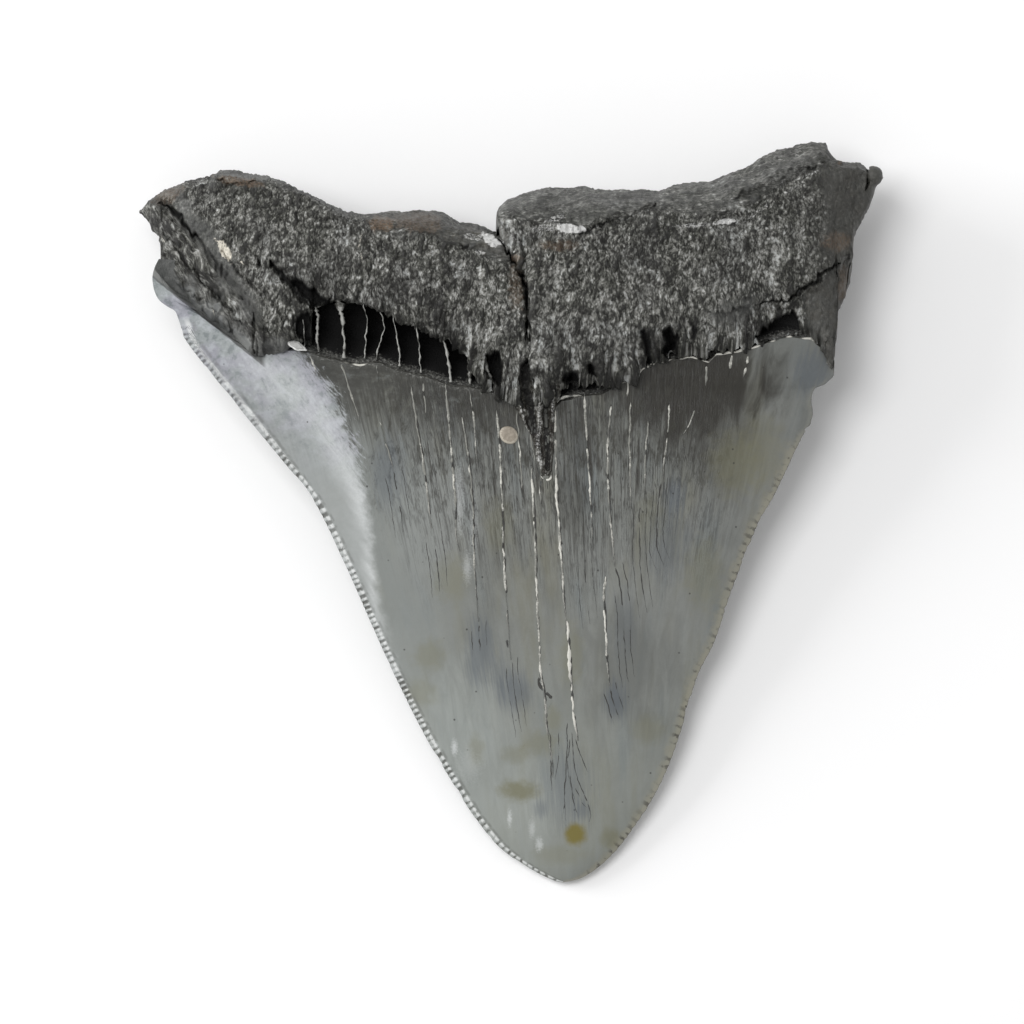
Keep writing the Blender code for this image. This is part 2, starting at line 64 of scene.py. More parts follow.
# The blade's mesh: rings of points and the ring on the enamel's upper edge, columns across the
# inner face, columns whose crossing of that edge is eased, and how far the outer columns beside an
# edge lie from it.
CROWN_ROWS, BREAK_ROW, INNER_COLUMNS, EASED_COLUMNS = 900, 90, 12, 24
EDGE_STEPS = (0.0, 0.1, 0.22, 0.36, 0.52, 0.7, 0.9, 1.1, 1.3, 1.6, 2.1, 2.9, 4.0)

# The two cutting edges from the root to the point, and how far from each end they are smooth.
LEFT_EDGE = [
    (-44.1, 31.6), (-44.6, 30.6), (-44.9, 29.4), (-44.8, 28.2), (-44.5, 27.2), (-44.0, 26.4), (-43.1, 25.7),
    (-42.1, 25.1), (-41.7, 24.2), (-41.2, 22.7), (-40.6, 21.2), (-36.9, 16.4), (-28.7, 6.4), (-24.8, 1.4),
    (-21.1, -6.1), (-17.8, -13.6), (-14.4, -21.1), (-10.6, -28.6), (-6.1, -36.1), (-4.4, -38.6),
    (-2.0, -41.6), (0.75, -43.8), (3.06, -45.15), (4.9, -46.05), (5.8, -46.35), TIP]
RIGHT_EDGE = [
    (40.2, 26.0), (40.3, 21.0), (40.25, 17.7), (40.1, 16.9), (39.6, 16.4), (39.0, 15.9), (38.0, 15.5),
    (37.6, 15.0), (37.4, 13.9), (37.6, 12.4), (37.4, 11.4), (37.2, 10.7), (36.4, 9.6), (34.8, 6.3),
    (32.7, 1.9), (31.1, -0.8), (29.9, -3.6), (28.6, -6.9), (27.3, -10.3), (25.4, -16.1), (23.2, -20.6),
    (21.1, -27.6), (19.2, -32.8), (17.1, -36.8), (15.9, -38.6), (13.75, -41.6), (12.1, -43.4),
    (10.56, -44.75), (9.06, -45.7), (7.8, -46.2), TIP]
LEFT_SMOOTH, RIGHT_SMOOTH, TIP_SMOOTH = 9.8, 16.0, 1.0
# Places along each edge, and how wide the notches are there, in shares of the serration pitch.
LEFT_PITCH = [0.0, 26.3, 31.3, 39.3, 46.3, 54.3, 70.3, 82.3], [0.8, 0.8, 1.05, 1.25, 0.95, 0.8, 0.88, 1.1]
RIGHT_PITCH = [0.0, 24.0, 27.0, 51.0, 56.0, 64.0, 78.0], [0.86, 0.86, 1.2, 1.2, 1.5, 1.2, 1.35]

# The enamel's upper edge, from the left shoulder to the right one.
ENAMEL_TOP = [
    (-45.31, 30.6), (-44.56, 30.2), (-43.31, 28.69), (-41.81, 27.06), (-39.56, 24.81), (-37.69, 23.56),
    (-35.44, 21.81), (-33.81, 20.94), (-32.31, 19.81), (-30.31, 19.94), (-28.06, 20.19), (-25.31, 19.94),
    (-24.19, 19.44), (-22.31, 19.06), (-20.56, 18.56), (-18.44, 18.31), (-16.81, 18.69), (-13.81, 17.56),
    (-11.06, 16.94), (-9.06, 16.19), (-7.69, 15.69), (-5.19, 15.56), (-2.69, 15.06), (0.31, 13.69),
    (2.81, 12.94), (5.19, 12.94), (6.56, 14.06), (8.81, 14.44), (11.31, 14.81), (14.56, 16.44),
    (16.69, 18.06), (18.56, 18.81), (20.69, 19.06), (22.56, 19.31), (24.56, 18.74), (25.56, 19.7),
    (27.94, 20.06), (30.19, 20.56), (32.56, 21.44), (34.69, 21.94), (37.44, 21.56), (38.69, 20.56),
    (40.06, 17.94)]

# The root's two halves: the top outline and the lower lip seen from above, and at stations along X
# the Y of the ridge, how far the brow stands back from the lip, the heights of the ridge and of
# the brow, and how thick the lip hangs.
LEFT_TOP = [
    (-46.3, 37.8), (-45.7, 38.5), (-45.0, 39.0), (-44.0, 39.6), (-43.4, 40.2), (-42.2, 40.7), (-40.6, 41.3),
    (-38.6, 41.9), (-37.6, 42.1), (-36.6, 42.8), (-34.6, 42.7), (-33.6, 42.3), (-30.6, 42.2), (-28.6, 41.4),
    (-26.6, 40.2), (-24.6, 39.2), (-22.6, 38.3), (-20.6, 37.5), (-18.6, 37.1), (-16.6, 37.4), (-15.6, 37.6),
    (-10.6, 37.6), (-8.6, 37.2), (-6.6, 36.1), (-3.6, 35.6), (-2.6, 35.2), (-1.9, 34.8), (-1.3, 35.2),
    (-0.3, 34.4), (0.4, 33.4), (1.4, 31.8), (1.9, 30.6), (2.3, 29.0)]
LEFT_LIP = [
    (-46.3, 37.3), (-45.8, 36.8), (-45.1, 36.0), (-44.9, 35.2), (-44.0, 34.5), (-43.8, 33.2), (-43.9, 31.0),
    (-43.8, 29.4), (-43.3, 28.4), (-41.8, 27.0), (-39.6, 24.9), (-37.7, 23.6), (-35.4, 21.8), (-33.8, 20.9),
    (-32.4, 19.6), (-30.3, 19.7), (-28.6, 20.2), (-27.6, 21.2), (-26.4, 21.5), (-25.2, 21.0), (-24.7, 24.6),
    (-23.6, 25.4), (-22.0, 26.4), (-20.0, 26.2), (-17.5, 25.6), (-15.3, 24.6), (-13.0, 23.4), (-10.0, 21.9),
    (-7.9, 21.2), (-6.4, 20.0), (-5.2, 18.4), (-4.3, 16.4), (-2.7, 15.0), (0.3, 13.6), (2.3, 12.9)]
RIGHT_TOP = [
    (-1.7, 37.7), (-1.6, 38.0), (-0.6, 39.1), (1.4, 39.7), (3.4, 40.2), (7.4, 40.6), (9.4, 40.7),
    (10.4, 40.4), (15.4, 40.4), (18.4, 40.2), (19.4, 40.7), (21.4, 41.1), (25.4, 41.9), (27.4, 42.6),
    (29.4, 43.1), (31.4, 44.3), (33.4, 44.9), (35.4, 45.4), (37.4, 46.4), (39.3, 46.2), (39.9, 44.9),
    (40.4, 44.2), (41.4, 43.8), (43.4, 43.6), (44.4, 42.8), (45.0, 42.6), (46.0, 42.3)]
RIGHT_LIP = [
    (-1.7, 35.3), (-1.5, 34.1), (-0.9, 33.0), (0.0, 31.9), (0.9, 30.4), (1.6, 28.8), (2.0, 27.2),
    (2.2, 21.0), (2.6, 13.2), (4.3, 13.4), (5.1, 14.7), (6.4, 15.4), (8.8, 15.7), (11.0, 15.2),
    (14.6, 16.3), (16.7, 17.9), (18.6, 18.7), (22.6, 19.2), (24.6, 18.4), (25.6, 19.8), (27.9, 20.0),
    (30.2, 20.7), (32.6, 21.5), (34.7, 22.0), (37.4, 21.5), (38.7, 20.4), (39.9, 17.8), (40.3, 20.4),
    (40.5, 24.6), (40.9, 25.8), (41.6, 27.1), (42.1, 29.6), (42.4, 31.5), (42.7, 34.2), (43.4, 35.8),
    (44.7, 38.4), (45.4, 40.6), (46.0, 41.5)]
LEFT_STATIONS = [
    (-46.3, 37.6, 0.1, 10.6, 10.0, 0.6), (-45.5, 38.8, 1.0, 12.0, 11.6, 1.0),
    (-44.5, 39.2, 1.4, 13.2, 12.8, 1.4), (-43.9, 39.5, 2.0, 14.0, 13.4, 1.6),
    (-41.0, 40.0, 1.6, 15.4, 14.2, 1.6), (-36.0, 41.0, 1.4, 17.0, 15.2, 1.8),
    (-31.0, 40.6, 1.2, 18.0, 16.0, 1.9), (-26.0, 38.8, 1.0, 18.6, 16.8, 2.0),
    (-20.0, 36.0, 0.5, 18.8, 17.2, 2.0), (-12.0, 35.2, 0.5, 18.8, 17.0, 1.9),
    (-5.0, 34.4, 1.0, 18.6, 16.6, 1.8), (-1.8, 33.9, 1.2, 18.5, 16.4, 1.7),
    (0.0, 32.2, 1.4, 18.2, 16.0, 1.6), (2.3, 28.6, 1.4, 17.6, 15.6, 1.2)]
RIGHT_STATIONS = [
    (-1.7, 36.9, 0.3, 18.8, 18.5, 0.8), (0.2, 36.4, 0.8, 19.3, 18.8, 1.2),
    (1.6, 36.6, 1.0, 19.5, 18.6, 1.6), (2.4, 36.6, 1.4, 19.6, 17.0, 2.0), (5.0, 36.5, 1.4, 19.8, 16.8, 2.0),
    (10.0, 36.2, 1.6, 20.0, 16.8, 2.0), (17.0, 36.6, 1.6, 19.8, 16.8, 2.0),
    (24.0, 36.2, 1.4, 19.2, 16.6, 1.8), (30.0, 38.2, 1.6, 18.4, 16.2, 1.8),
    (35.0, 41.0, 1.8, 17.2, 15.6, 1.8), (38.6, 43.1, 1.8, 16.0, 14.8, 1.6),
    (40.3, 42.7, 2.2, 14.8, 13.8, 1.4), (42.6, 42.4, 1.0, 13.6, 12.8, 1.0),
    (45.6, 42.0, 0.4, 11.8, 11.4, 0.6), (46.0, 41.9, 0.1, 11.0, 10.8, 0.4)]
# How far the inner face rises towards the lobes, how far its flat is worn down, and how far the
# right half's lip reaches over the enamel's edge, at places along X.
LOBE_LIFT, WEAR = 7.0, 0.45
LIP_OVER_ENAMEL = [9.0, 12.0, 14.0, 18.0], [0.3, -0.3, -0.3, 0.12]
# A ring of points round the root has a corner at the lip, the brow, the ridge, the top and so on.
# Points between each two corners, how far each corner belongs to the outer face, and the stretches
# that run straight.
RING_PIECES = (12, 34, 34, 32, 16, 14, 6, 4, 5, 7, 5, 3, 3, 4, 3)
OUTWARD = (1.0,) * 6 + (0.45,) + (0.0,) * 9
SHARP_PIECES = (0, 14)
# The rings that round off an end: size, and how far out, in shares of the lobe roundness.
CAP_RINGS = ((0.93, 0.22), (0.7, 0.4), (0.35, 0.5), (0.0, 0.52))
# Fibres: how far they follow the slope, and the leans in degrees of those beyond the left step
# and of those along the ridge.
SHEAR, LEFT_LEAN, RIDGE_LEAN = 0.8, -33.0, 82.0

# Open cracks and creases in the root: points, half width, depth.
ROOT_CRACKS = [
    ([(-43.9, 38.9), (-42.6, 38.0), (-41.2, 36.6), (-40.4, 35.4), (-39.2, 34.2)], 0.24, 1.8),
    ([(-40.0, 35.0), (-38.3, 33.2), (-36.6, 30.8), (-35.0, 28.4), (-33.8, 26.4)], 0.12, 0.4),
    ([(-44.0, 35.6), (-42.0, 32.8), (-39.0, 29.3), (-36.0, 26.0), (-33.4, 23.4)], 0.16, 0.8),
    ([(-36.4, 33.0), (-33.6, 29.6), (-31.0, 27.0), (-29.4, 25.2), (-28.4, 23.4)], 0.14, 0.7),
    ([(-32.3, 24.8), (-32.0, 22.8), (-32.2, 20.8), (-32.0, 19.6)], 0.14, 0.9),
    ([(-30.2, 31.2), (-29.2, 30.2), (-28.0, 28.8), (-26.4, 26.8), (-24.8, 25.4)], 0.34, 2.2),
    ([(-36.6, 41.5), (-35.4, 41.1), (-33.8, 40.9), (-32.0, 41.1)], 0.16, 0.7),
    ([(8.4, 34.8), (10.0, 35.4), (12.4, 36.0), (15.0, 36.5), (16.6, 37.2), (17.8, 38.1)], 0.5, 0.75),
    ([(8.8, 34.9), (11.4, 35.9), (14.6, 36.5)], 0.16, 1.4),
    ([(28.0, 39.2), (31.4, 40.2), (33.4, 41.2), (35.8, 42.4), (38.2, 43.1)], 0.7, 0.7),
    ([(24.0, 36.0), (27.0, 36.7), (30.0, 37.8), (32.0, 39.0)], 0.3, 0.5),
    ([(41.0, 31.3), (38.6, 29.6), (36.6, 27.9), (34.6, 26.7), (31.0, 26.1)], 0.22, 1.6),
    ([(43.9, 40.3), (44.6, 41.2), (44.9, 42.6)], 0.2, 1.2),
    ([(-44.2, 31.4), (-42.0, 29.4), (-40.0, 27.2), (-37.0, 25.0)], 0.1, 0.4),
    ([(-1.6, 33.6), (-0.7, 32.4), (0.6, 30.8), (1.5, 29.0), (2.0, 27.2), (2.0, 24.4), (1.9, 21.4)], 0.13,
      2.6)]

# Layers that have broken away: the line of the step, which side of it is lower (as one walks
# along the line, 1 for the right), how far down, and over what distance from the line it fades.
ROOT_STEPS = [
    ([(-47.0, 40.2), (-42.9, 38.3), (-40.3, 35.1), (-36.9, 31.2), (-33.0, 26.6), (-31.0, 23.4)], 1, 1.2,
      15.0),
    ([(-2.0, 35.4), (3.2, 35.1), (8.4, 34.9), (12.4, 36.2), (17.8, 36.6), (26.4, 36.4), (31.0, 38.6),
      (36.0, 41.0), (40.0, 43.4)], -1, 0.7, 9.0),
    ([(43.0, 33.0), (40.6, 31.1), (37.8, 28.9), (35.2, 26.7), (31.0, 26.0)], -1, 1.3, 9.0)]

# Hollows that open between the root and the enamel: outline and depth.
ROOT_PITS = [
    ([(0.5, 31.3), (1.3, 30.2), (1.9, 28.6), (2.1, 26.4), (1.9, 24.0), (1.5, 25.2), (1.4, 27.6),
      (1.0, 29.6)], 4.5),
    ([(-28.2, 29.2), (-26.2, 29.0), (-24.6, 28.0), (-22.6, 26.6), (-22.4, 25.3), (-24.6, 25.4),
      (-26.4, 26.9), (-27.6, 28.2)], 4.5),
    ([(-27.3, 24.2), (-26.8, 24.9), (-25.6, 25.1), (-24.9, 24.6), (-24.8, 20.9), (-26.1, 21.4),
      (-27.4, 21.8)], 3.4),
    ([(-32.1, 31.9), (-31.2, 31.7), (-31.0, 30.8), (-31.8, 30.6)], 1.8),
    ([(-36.9, 27.2), (-36.1, 27.2), (-36.0, 26.3), (-36.8, 26.4)], 1.4),
    ([(-6.2, 33.4), (-5.4, 33.4), (-5.5, 32.9), (-6.1, 32.9)], 1.0),
    ([(-3.1, 19.5), (-2.2, 20.1), (-1.5, 19.6), (-1.2, 17.4), (-1.5, 16.0), (-2.6, 16.0), (-3.3, 18.0)],
      4.8),
    ([(1.0, 18.0), (1.7, 19.2), (2.5, 18.4), (2.9, 15.0), (2.6, 12.6), (1.4, 13.0), (0.7, 15.6)], 3.6),
    ([(6.7, 17.6), (8.0, 17.8), (8.5, 16.6), (8.2, 15.3), (7.0, 15.2), (6.5, 16.2)], 4.2),
    ([(9.3, 18.8), (10.2, 18.6), (10.4, 17.0), (9.9, 16.6), (9.3, 17.2)], 3.4),
    ([(16.2, 22.4), (16.9, 22.8), (17.5, 20.4), (17.4, 18.7), (16.5, 18.8), (16.2, 20.6)], 2.2),
    ([(18.9, 22.4), (20.0, 23.4), (21.0, 22.0), (20.5, 19.5), (19.4, 19.3), (18.7, 20.4), (19.1, 21.4)],
      4.6),
    ([(22.0, 23.4), (22.8, 23.8), (23.1, 22.4), (22.5, 21.2)], 0.9),
    ([(29.9, 21.2), (31.4, 23.4), (33.4, 24.8), (34.9, 25.4), (36.0, 24.0), (36.3, 22.4), (34.4, 22.2),
      (32.4, 21.7)], 5.0)]

# Where the root is smooth instead of fibrous: outline, slate (1) or brown (0), strength.
SMOOTH_FACES = [
    ([(-44.9, 29.8), (-42.4, 30.4), (-41.2, 28.9), (-40.1, 29.4), (-39.2, 28.4), (-39.2, 25.6),
      (-38.5, 26.6), (-36.3, 26.6), (-35.9, 23.6), (-34.1, 23.6), (-32.4, 21.5), (-32.2, 19.0),
      (-38.0, 22.0), (-42.0, 26.0)], 1, 0.95),
    ([(-42.6, 38.4), (-40.9, 38.9), (-37.2, 34.6), (-32.8, 28.3), (-31.3, 24.2), (-33.4, 24.2),
      (-36.3, 28.9), (-40.3, 34.6)], 1, 0.5),
    ([(-32.4, 21.6), (-28.6, 21.6), (-27.0, 20.6), (-28.4, 19.0), (-32.4, 19.0)], 1, 0.6),
    ([(-46.4, 39.4), (-43.0, 41.8), (-41.0, 41.8), (-41.6, 39.8), (-44.6, 38.2)], 1, 0.6),
    ([(-38.0, 44.0), (-37.4, 41.4), (-35.0, 40.9), (-31.0, 41.0), (-29.0, 42.0), (-30.0, 44.0)], 0, 0.7),
    ([(-18.8, 38.4), (-18.3, 36.0), (-16.6, 35.2), (-14.0, 35.0), (-11.0, 35.0), (-8.0, 33.8), (-5.0, 32.6),
      (-1.4, 31.4), (0.4, 31.6), (-1.4, 36.0), (-8.0, 38.4)], 0, 0.5),
    ([(-3.0, 36.8), (3.2, 36.2), (8.4, 35.8), (12.4, 36.6), (17.8, 37.6), (26.4, 37.0), (31.0, 39.2),
      (36.0, 42.2), (40.4, 44.6), (38.0, 49.0), (0.0, 43.0)], 1, 0.32),
    ([(38.6, 42.2), (39.2, 36.0), (38.6, 32.4), (39.8, 30.6), (44.0, 33.0), (48.0, 43.0), (42.0, 45.0)], 0,
      0.5),
    ([(36.0, 27.0), (39.0, 29.6), (42.8, 31.0), (42.8, 26.0), (41.0, 17.0), (39.0, 20.6), (36.6, 22.4)], 0,
      0.6),
    ([(24.0, 24.6), (27.0, 26.4), (31.0, 27.0), (30.0, 24.6), (27.0, 23.0)], 1, 0.5)]
LEVEL_FACES = slice(5, 7)                   # those along the ridge

# White and cream deposits and rust on the root: X, Y, half length, half width, turn in degrees,
# strength.
PALE_SPOTS = [
    (-35.9, 32.6, 1.9, 0.6, -57.0, 0.95), (-33.7, 31.1, 0.3, 0.14, -40.0, 0.8),
    (-44.0, 40.2, 0.45, 0.3, 60.0, 0.8), (-43.6, 34.0, 0.6, 0.1, -60.0, 0.5),
    (-4.4, 34.2, 1.5, 0.4, -10.0, 0.6), (-2.6, 33.9, 1.5, 0.7, -30.0, 1.0),
    (-4.0, 32.4, 0.9, 0.3, -8.0, 0.6), (4.4, 35.5, 2.2, 0.5, 8.0, 0.62), (7.2, 35.3, 2.2, 0.6, -6.0, 1.0),
    (5.4, 36.6, 1.8, 0.34, 16.0, 0.6), (6.6, 37.4, 1.6, 0.2, 8.0, 0.4), (0.4, 34.0, 0.6, 1.2, 30.0, 0.45),
    (26.7, 36.2, 1.2, 0.4, 6.0, 1.0), (23.4, 35.8, 3.8, 0.3, 5.0, 0.62), (30.6, 37.4, 2.0, 0.3, 36.0, 0.55),
    (35.0, 40.3, 1.5, 0.2, 28.0, 0.55), (37.6, 42.3, 0.9, 0.24, 20.0, 0.6),
    (34.0, 41.4, 1.4, 0.14, 34.0, 0.4), (-19.0, 33.6, 0.14, 1.2, -14.0, 0.6),
    (-18.7, 31.6, 0.14, 0.9, 10.0, 0.55), (-37.3, 24.9, 0.9, 0.1, -75.0, 0.7),
    (-38.4, 25.8, 0.1, 0.5, 0.0, 0.5), (-9.8, 24.0, 0.9, 0.5, -30.0, 0.35),
    (24.6, 38.0, 0.3, 1.0, 8.0, 0.2), (36.4, 40.6, 0.2, 0.9, 8.0, 0.4),
    (-31.0, 40.6, 1.6, 0.16, -6.0, 0.35)]
RUST_SPOTS = [
    (-16.2, 36.0, 1.6, 1.0, 10.0, 1.0), (-12.0, 36.2, 3.0, 1.2, 0.0, 0.5),
    (-34.0, 41.2, 2.6, 0.5, -8.0, 0.8), (0.4, 31.6, 0.6, 0.5, 0.0, 1.0), (0.6, 28.4, 1.0, 3.0, 0.0, 0.5),
    (41.0, 43.9, 0.5, 0.4, 40.0, 1.0), (40.6, 33.8, 1.8, 1.1, 0.0, 0.6), (6.0, 33.2, 2.4, 0.7, 0.0, 0.5),
    (-43.0, 39.6, 2.0, 1.0, 30.0, 0.5), (41.6, 28.0, 1.0, 2.4, 0.0, 0.5)]

# Fins of mineral that stand in the hollow: points along the top from root to enamel, half widths.
FINS = [
    ([(-24.5, 25.6), (-24.2, 24.6), (-24.3, 23.6), (-24.35, 22.0), (-24.2, 20.0)],
      [0.3, 0.2, 0.13, 0.17, 0.14]),
    ([(-21.9, 27.2), (-21.6, 26.0), (-21.5, 25.2), (-21.2, 23.9), (-21.0, 22.2), (-21.0, 19.2)],
      [0.7, 0.5, 0.34, 0.2, 0.14, 0.16]),
    ([(-18.6, 26.2), (-18.1, 23.9), (-18.3, 21.6), (-18.3, 19.2)], [0.05, 0.05, 0.06, 0.07]),
    ([(-16.6, 25.6), (-16.0, 23.1), (-16.6, 20.8), (-16.9, 19.0)], [0.05, 0.08, 0.07, 0.08]),
    ([(-15.0, 25.0), (-14.5, 22.4), (-14.1, 20.2), (-14.0, 18.2)], [0.05, 0.08, 0.08, 0.12]),
    ([(-11.9, 23.6), (-11.6, 20.8), (-11.5, 18.6), (-11.4, 17.4)], [0.05, 0.07, 0.08, 0.1]),
    ([(-8.5, 21.4), (-8.1, 19.4), (-7.8, 17.6), (-7.7, 16.2)], [0.08, 0.13, 0.22, 0.12]),
    ([(-5.5, 19.0), (-5.4, 17.6), (-5.2, 16.0)], [0.14, 0.18, 0.12]),
    ([(-3.4, 20.0), (-3.2, 18.2), (-2.4, 16.2), (-1.9, 15.2)], [0.3, 0.22, 0.2, 0.16]),
    ([(-27.2, 24.4), (-27.1, 22.8), (-26.9, 21.4)], [0.1, 0.06, 0.08]),
    ([(-26.1, 24.0), (-25.9, 22.6), (-25.9, 20.4)], [0.05, 0.04, 0.06])]
# A fin across: place in half widths, how far below the top, lightness and wear. The lightness is painted
# light on the top; the wear darkens the sides downwards as painted shade towards the hollow's floor.
FIN_PROFILE = [
    (-1.6, 7.0, 0.0, 1.0), (-1.25, 1.6, 0.15, 0.8), (-1.0, 0.25, 0.6, 0.1), (-0.5, 0.0, 0.8, 0.0),
    (0.5, 0.0, 0.8, 0.0), (1.0, 0.25, 0.6, 0.1), (1.25, 1.6, 0.15, 0.8), (1.6, 7.0, 0.0, 1.0)]
VEIN_STEP, RIM_STEP = 0.11, 0.12            # from point to point along a ribbon
SEDIMENT_AND_SHADOW_RISE, FINE_WIDTH = 0.015, 0.2      # height of dark lines; fine ones are narrower than this

# Veins in the enamel: points, half width, from 0 for grey to 1 for cream.
VEINS = [
    ([(-12.69, 15.81), (-11.94, 11.06), (-10.94, 5.31), (-10.06, -2.06)], 0.11, 0.3),
    ([(-8.31, 16.31), (-7.94, 11.06), (-7.44, 5.56), (-7.06, 1.19), (-7.06, -2.56), (-6.56, -4.94)], 0.12,
      0.3),
    ([(-5.31, 15.31), (-4.69, 10.56), (-4.31, 5.56)], 0.09, 0.2),
    ([(-6.19, 11.81), (-5.44, 6.94), (-4.94, 1.06), (-4.69, -7.31), (-4.19, -13.81)], 0.09, 0.2),
    ([(-1.94, 12.69), (-1.56, 8.19), (-1.19, 0.31), (-1.06, -4.94), (-0.69, -11.44), (-0.19, -18.56)], 0.12,
      0.3),
    ([(0.56, 12.69), (0.94, 7.94), (1.19, 3.69), (1.31, 0.31)], 0.09, 0.2),
    ([(2.44, 5.56), (2.69, 0.31), (2.94, -4.94), (3.06, -9.81), (3.44, -16.94), (3.56, -20.31),
      (4.06, -22.94), (4.31, -26.81), (4.94, -30.44), (5.06, -33.31)], 0.12, 0.35),
    ([(8.9, 14.4), (7.8, 14.5), (6.6, 14.35), (5.8, 13.9), (5.3, 13.2), (5.3, 11.6), (5.44, 7.69),
      (5.56, 4.0)], 0.17, 0.4),
    ([(5.5, 6.0), (5.56, 2.19), (5.94, -2.56), (6.31, -8.56), (6.81, -14.56)], 0.14, 0.5),
    ([(9.5, 15.7), (9.0, 14.6), (8.9, 13.8)], 0.12, 0.4), ([(3.4, 4.7), (3.7, 4.3), (4.1, 4.1)], 0.12, 0.5),
    ([(4.2, 4.0), (4.7, 4.1), (5.0, 4.7)], 0.1, 1.0), ([(2.3, 10.0), (2.7, 7.2), (3.3, 4.6)], 0.08, 0.2),
    ([(3.5, 3.9), (3.6, 1.0)], 0.1, 0.3),
    ([(6.81, -13.6), (7.06, -16.06), (7.19, -18.4), (7.3, -20.81), (7.5, -22.6)], 0.17, 0.8),
    ([(7.4, -21.4), (7.56, -23.94), (7.94, -26.81), (8.19, -28.69)], 0.13, 0.8),
    ([(9.06, 14.69), (9.44, 7.94), (9.81, 1.06), (10.19, -4.94)], 0.11, 0.4),
    ([(12.31, 13.44), (11.94, 7.44), (12.19, -0.19), (12.56, -3.81), (12.81, -6.94)], 0.12, 0.3),
    ([(11.69, -8.06), (11.44, -10.94), (11.69, -14.56), (11.81, -17.94), (12.19, -21.81)], 0.12, 0.5),
    ([(14.81, 13.69), (14.69, 8.19), (14.81, 0.31)], 0.1, 0.3),
    ([(14.56, 16.31), (14.31, 14.19)], 0.1, 0.4),
    ([(17.06, 11.31), (16.69, 7.44), (16.56, 2.19)], 0.08, 0.2),
    ([(19.69, 13.44), (19.44, 10.06), (18.81, 4.06)], 0.09, 0.3),
    ([(22.81, 12.69), (22.2, 11.0), (21.19, 9.44)], 0.07, 0.2),
    ([(-21.31, 18.44), (-20.19, 15.06), (-18.94, 11.06)], 0.11, 0.2),
    ([(-25.2, 19.6), (-24.4, 17.4)], 0.09, 0.2), ([(-16.81, 18.2), (-16.69, 16.31)], 0.1, 0.2),
    ([(-16.56, 11.31), (-15.56, 7.94), (-14.94, 5.56)], 0.09, 0.2),
    ([(-11.06, 16.06), (-10.69, 11.31)], 0.08, 0.2), ([(24.31, 18.19), (24.19, 15.69)], 0.13, 0.4),
    ([(27.56, 19.94), (27.2, 18.0), (26.94, 16.81)], 0.13, 0.4),
    ([(29.56, 19.56), (29.2, 18.0), (28.81, 16.81)], 0.12, 0.4)]

# Dark sediment in cracks: points and half width.
DARK_VEINS = [
    ([(3.5, -20.2), (3.3, -21.3), (3.9, -22.4)], 0.24), ([(4.3, -22.6), (5.0, -23.5), (4.6, -24.6)], 0.26),
    ([(2.6, 8.4), (3.0, 6.2), (3.5, 4.4)], 0.12),
    ([(4.3, -25.6), (4.6, -27.4), (4.9, -29.2), (4.9, -31.6), (5.0, -35.0)], 0.11),
    ([(7.9, -28.4), (8.6, -30.4), (9.4, -32.6)], 0.11),
    ([(7.5, -27.6), (7.7, -30.6), (8.2, -33.4), (9.2, -35.8), (9.8, -37.8), (9.7, -38.9)], 0.11),
    ([(6.9, -26.4), (6.9, -29.8), (6.7, -33.0), (6.6, -36.2), (6.8, -38.8)], 0.1),
    ([(7.2, -33.0), (7.6, -35.6), (8.3, -38.4)], 0.12), ([(6.7, -36.4), (6.3, -38.6), (7.3, -39.8)], 0.12),
    ([(5.9, -27.6), (5.8, -30.4), (5.4, -33.6)], 0.08), ([(7.9, -34.6), (8.8, -36.4), (9.4, -37.0)], 0.08),
    ([(7.2, -28.4), (7.0, -31.2), (7.3, -34.0), (7.9, -36.0)], 0.08),
    ([(12.2, -22.0), (12.8, -24.0), (13.5, -26.0)], 0.12),
    ([(0.0, -18.8), (0.1, -21.0), (0.6, -24.0), (1.2, -27.6)], 0.08),
    ([(-0.6, -16.0), (-0.5, -17.0)], 0.22), ([(14.0, -15.4), (14.2, -18.6), (14.6, -21.4)], 0.09),
    ([(13.0, -7.0), (13.6, -9.6), (14.0, -13.0), (14.0, -16.0)], 0.11),
    ([(16.0, 1.0), (15.9, -3.6), (16.2, -8.4), (16.8, -12.6)], 0.09),
    ([(18.6, 3.6), (18.2, -0.6), (18.1, -4.2), (18.9, -6.6)], 0.1),
    ([(9.0, -3.0), (9.2, -8.4), (9.8, -14.0)], 0.07), ([(-4.2, -14.2), (-4.0, -17.4)], 0.1),
    ([(-9.8, -3.0), (-9.2, -7.4), (-9.0, -10.0)], 0.09),
    ([(-14.8, 5.0), (-14.0, 0.4), (-13.6, -2.6)], 0.08)]

# Small spots in the enamel: X, Y, half width, half height, strength.
OLIVE_SPOTS = [
    (-10.2, -18.0, 1.8, 1.8, 0.4), (-11.4, -22.6, 1.8, 1.6, 0.35), (0.8, -34.9, 2.2, 1.2, 0.8),
    (-4.4, -29.8, 0.9, 1.8, 0.35), (0.4, -30.4, 1.6, 1.0, 0.35), (3.6, -29.0, 2.0, 1.4, 0.4),
    (17.2, -27.2, 2.0, 1.6, 0.35), (12.4, -40.8, 1.2, 1.2, 0.6), (5.2, -26.0, 1.0, 1.6, 0.4),
    (-7.6, -8.4, 2.0, 2.6, 0.35), (6.0, -43.0, 2.8, 1.2, 0.3), (7.4, -18.0, 1.4, 3.6, 0.4),
    (28.0, 6.0, 3.0, 3.6, 0.45), (24.0, -8.0, 2.2, 4.2, 0.4), (-1.6, -1.6, 1.6, 3.0, 0.3),
    (31.6, 7.2, 2.4, 4.0, 0.35), (17.4, -1.0, 1.6, 3.0, 0.3)]
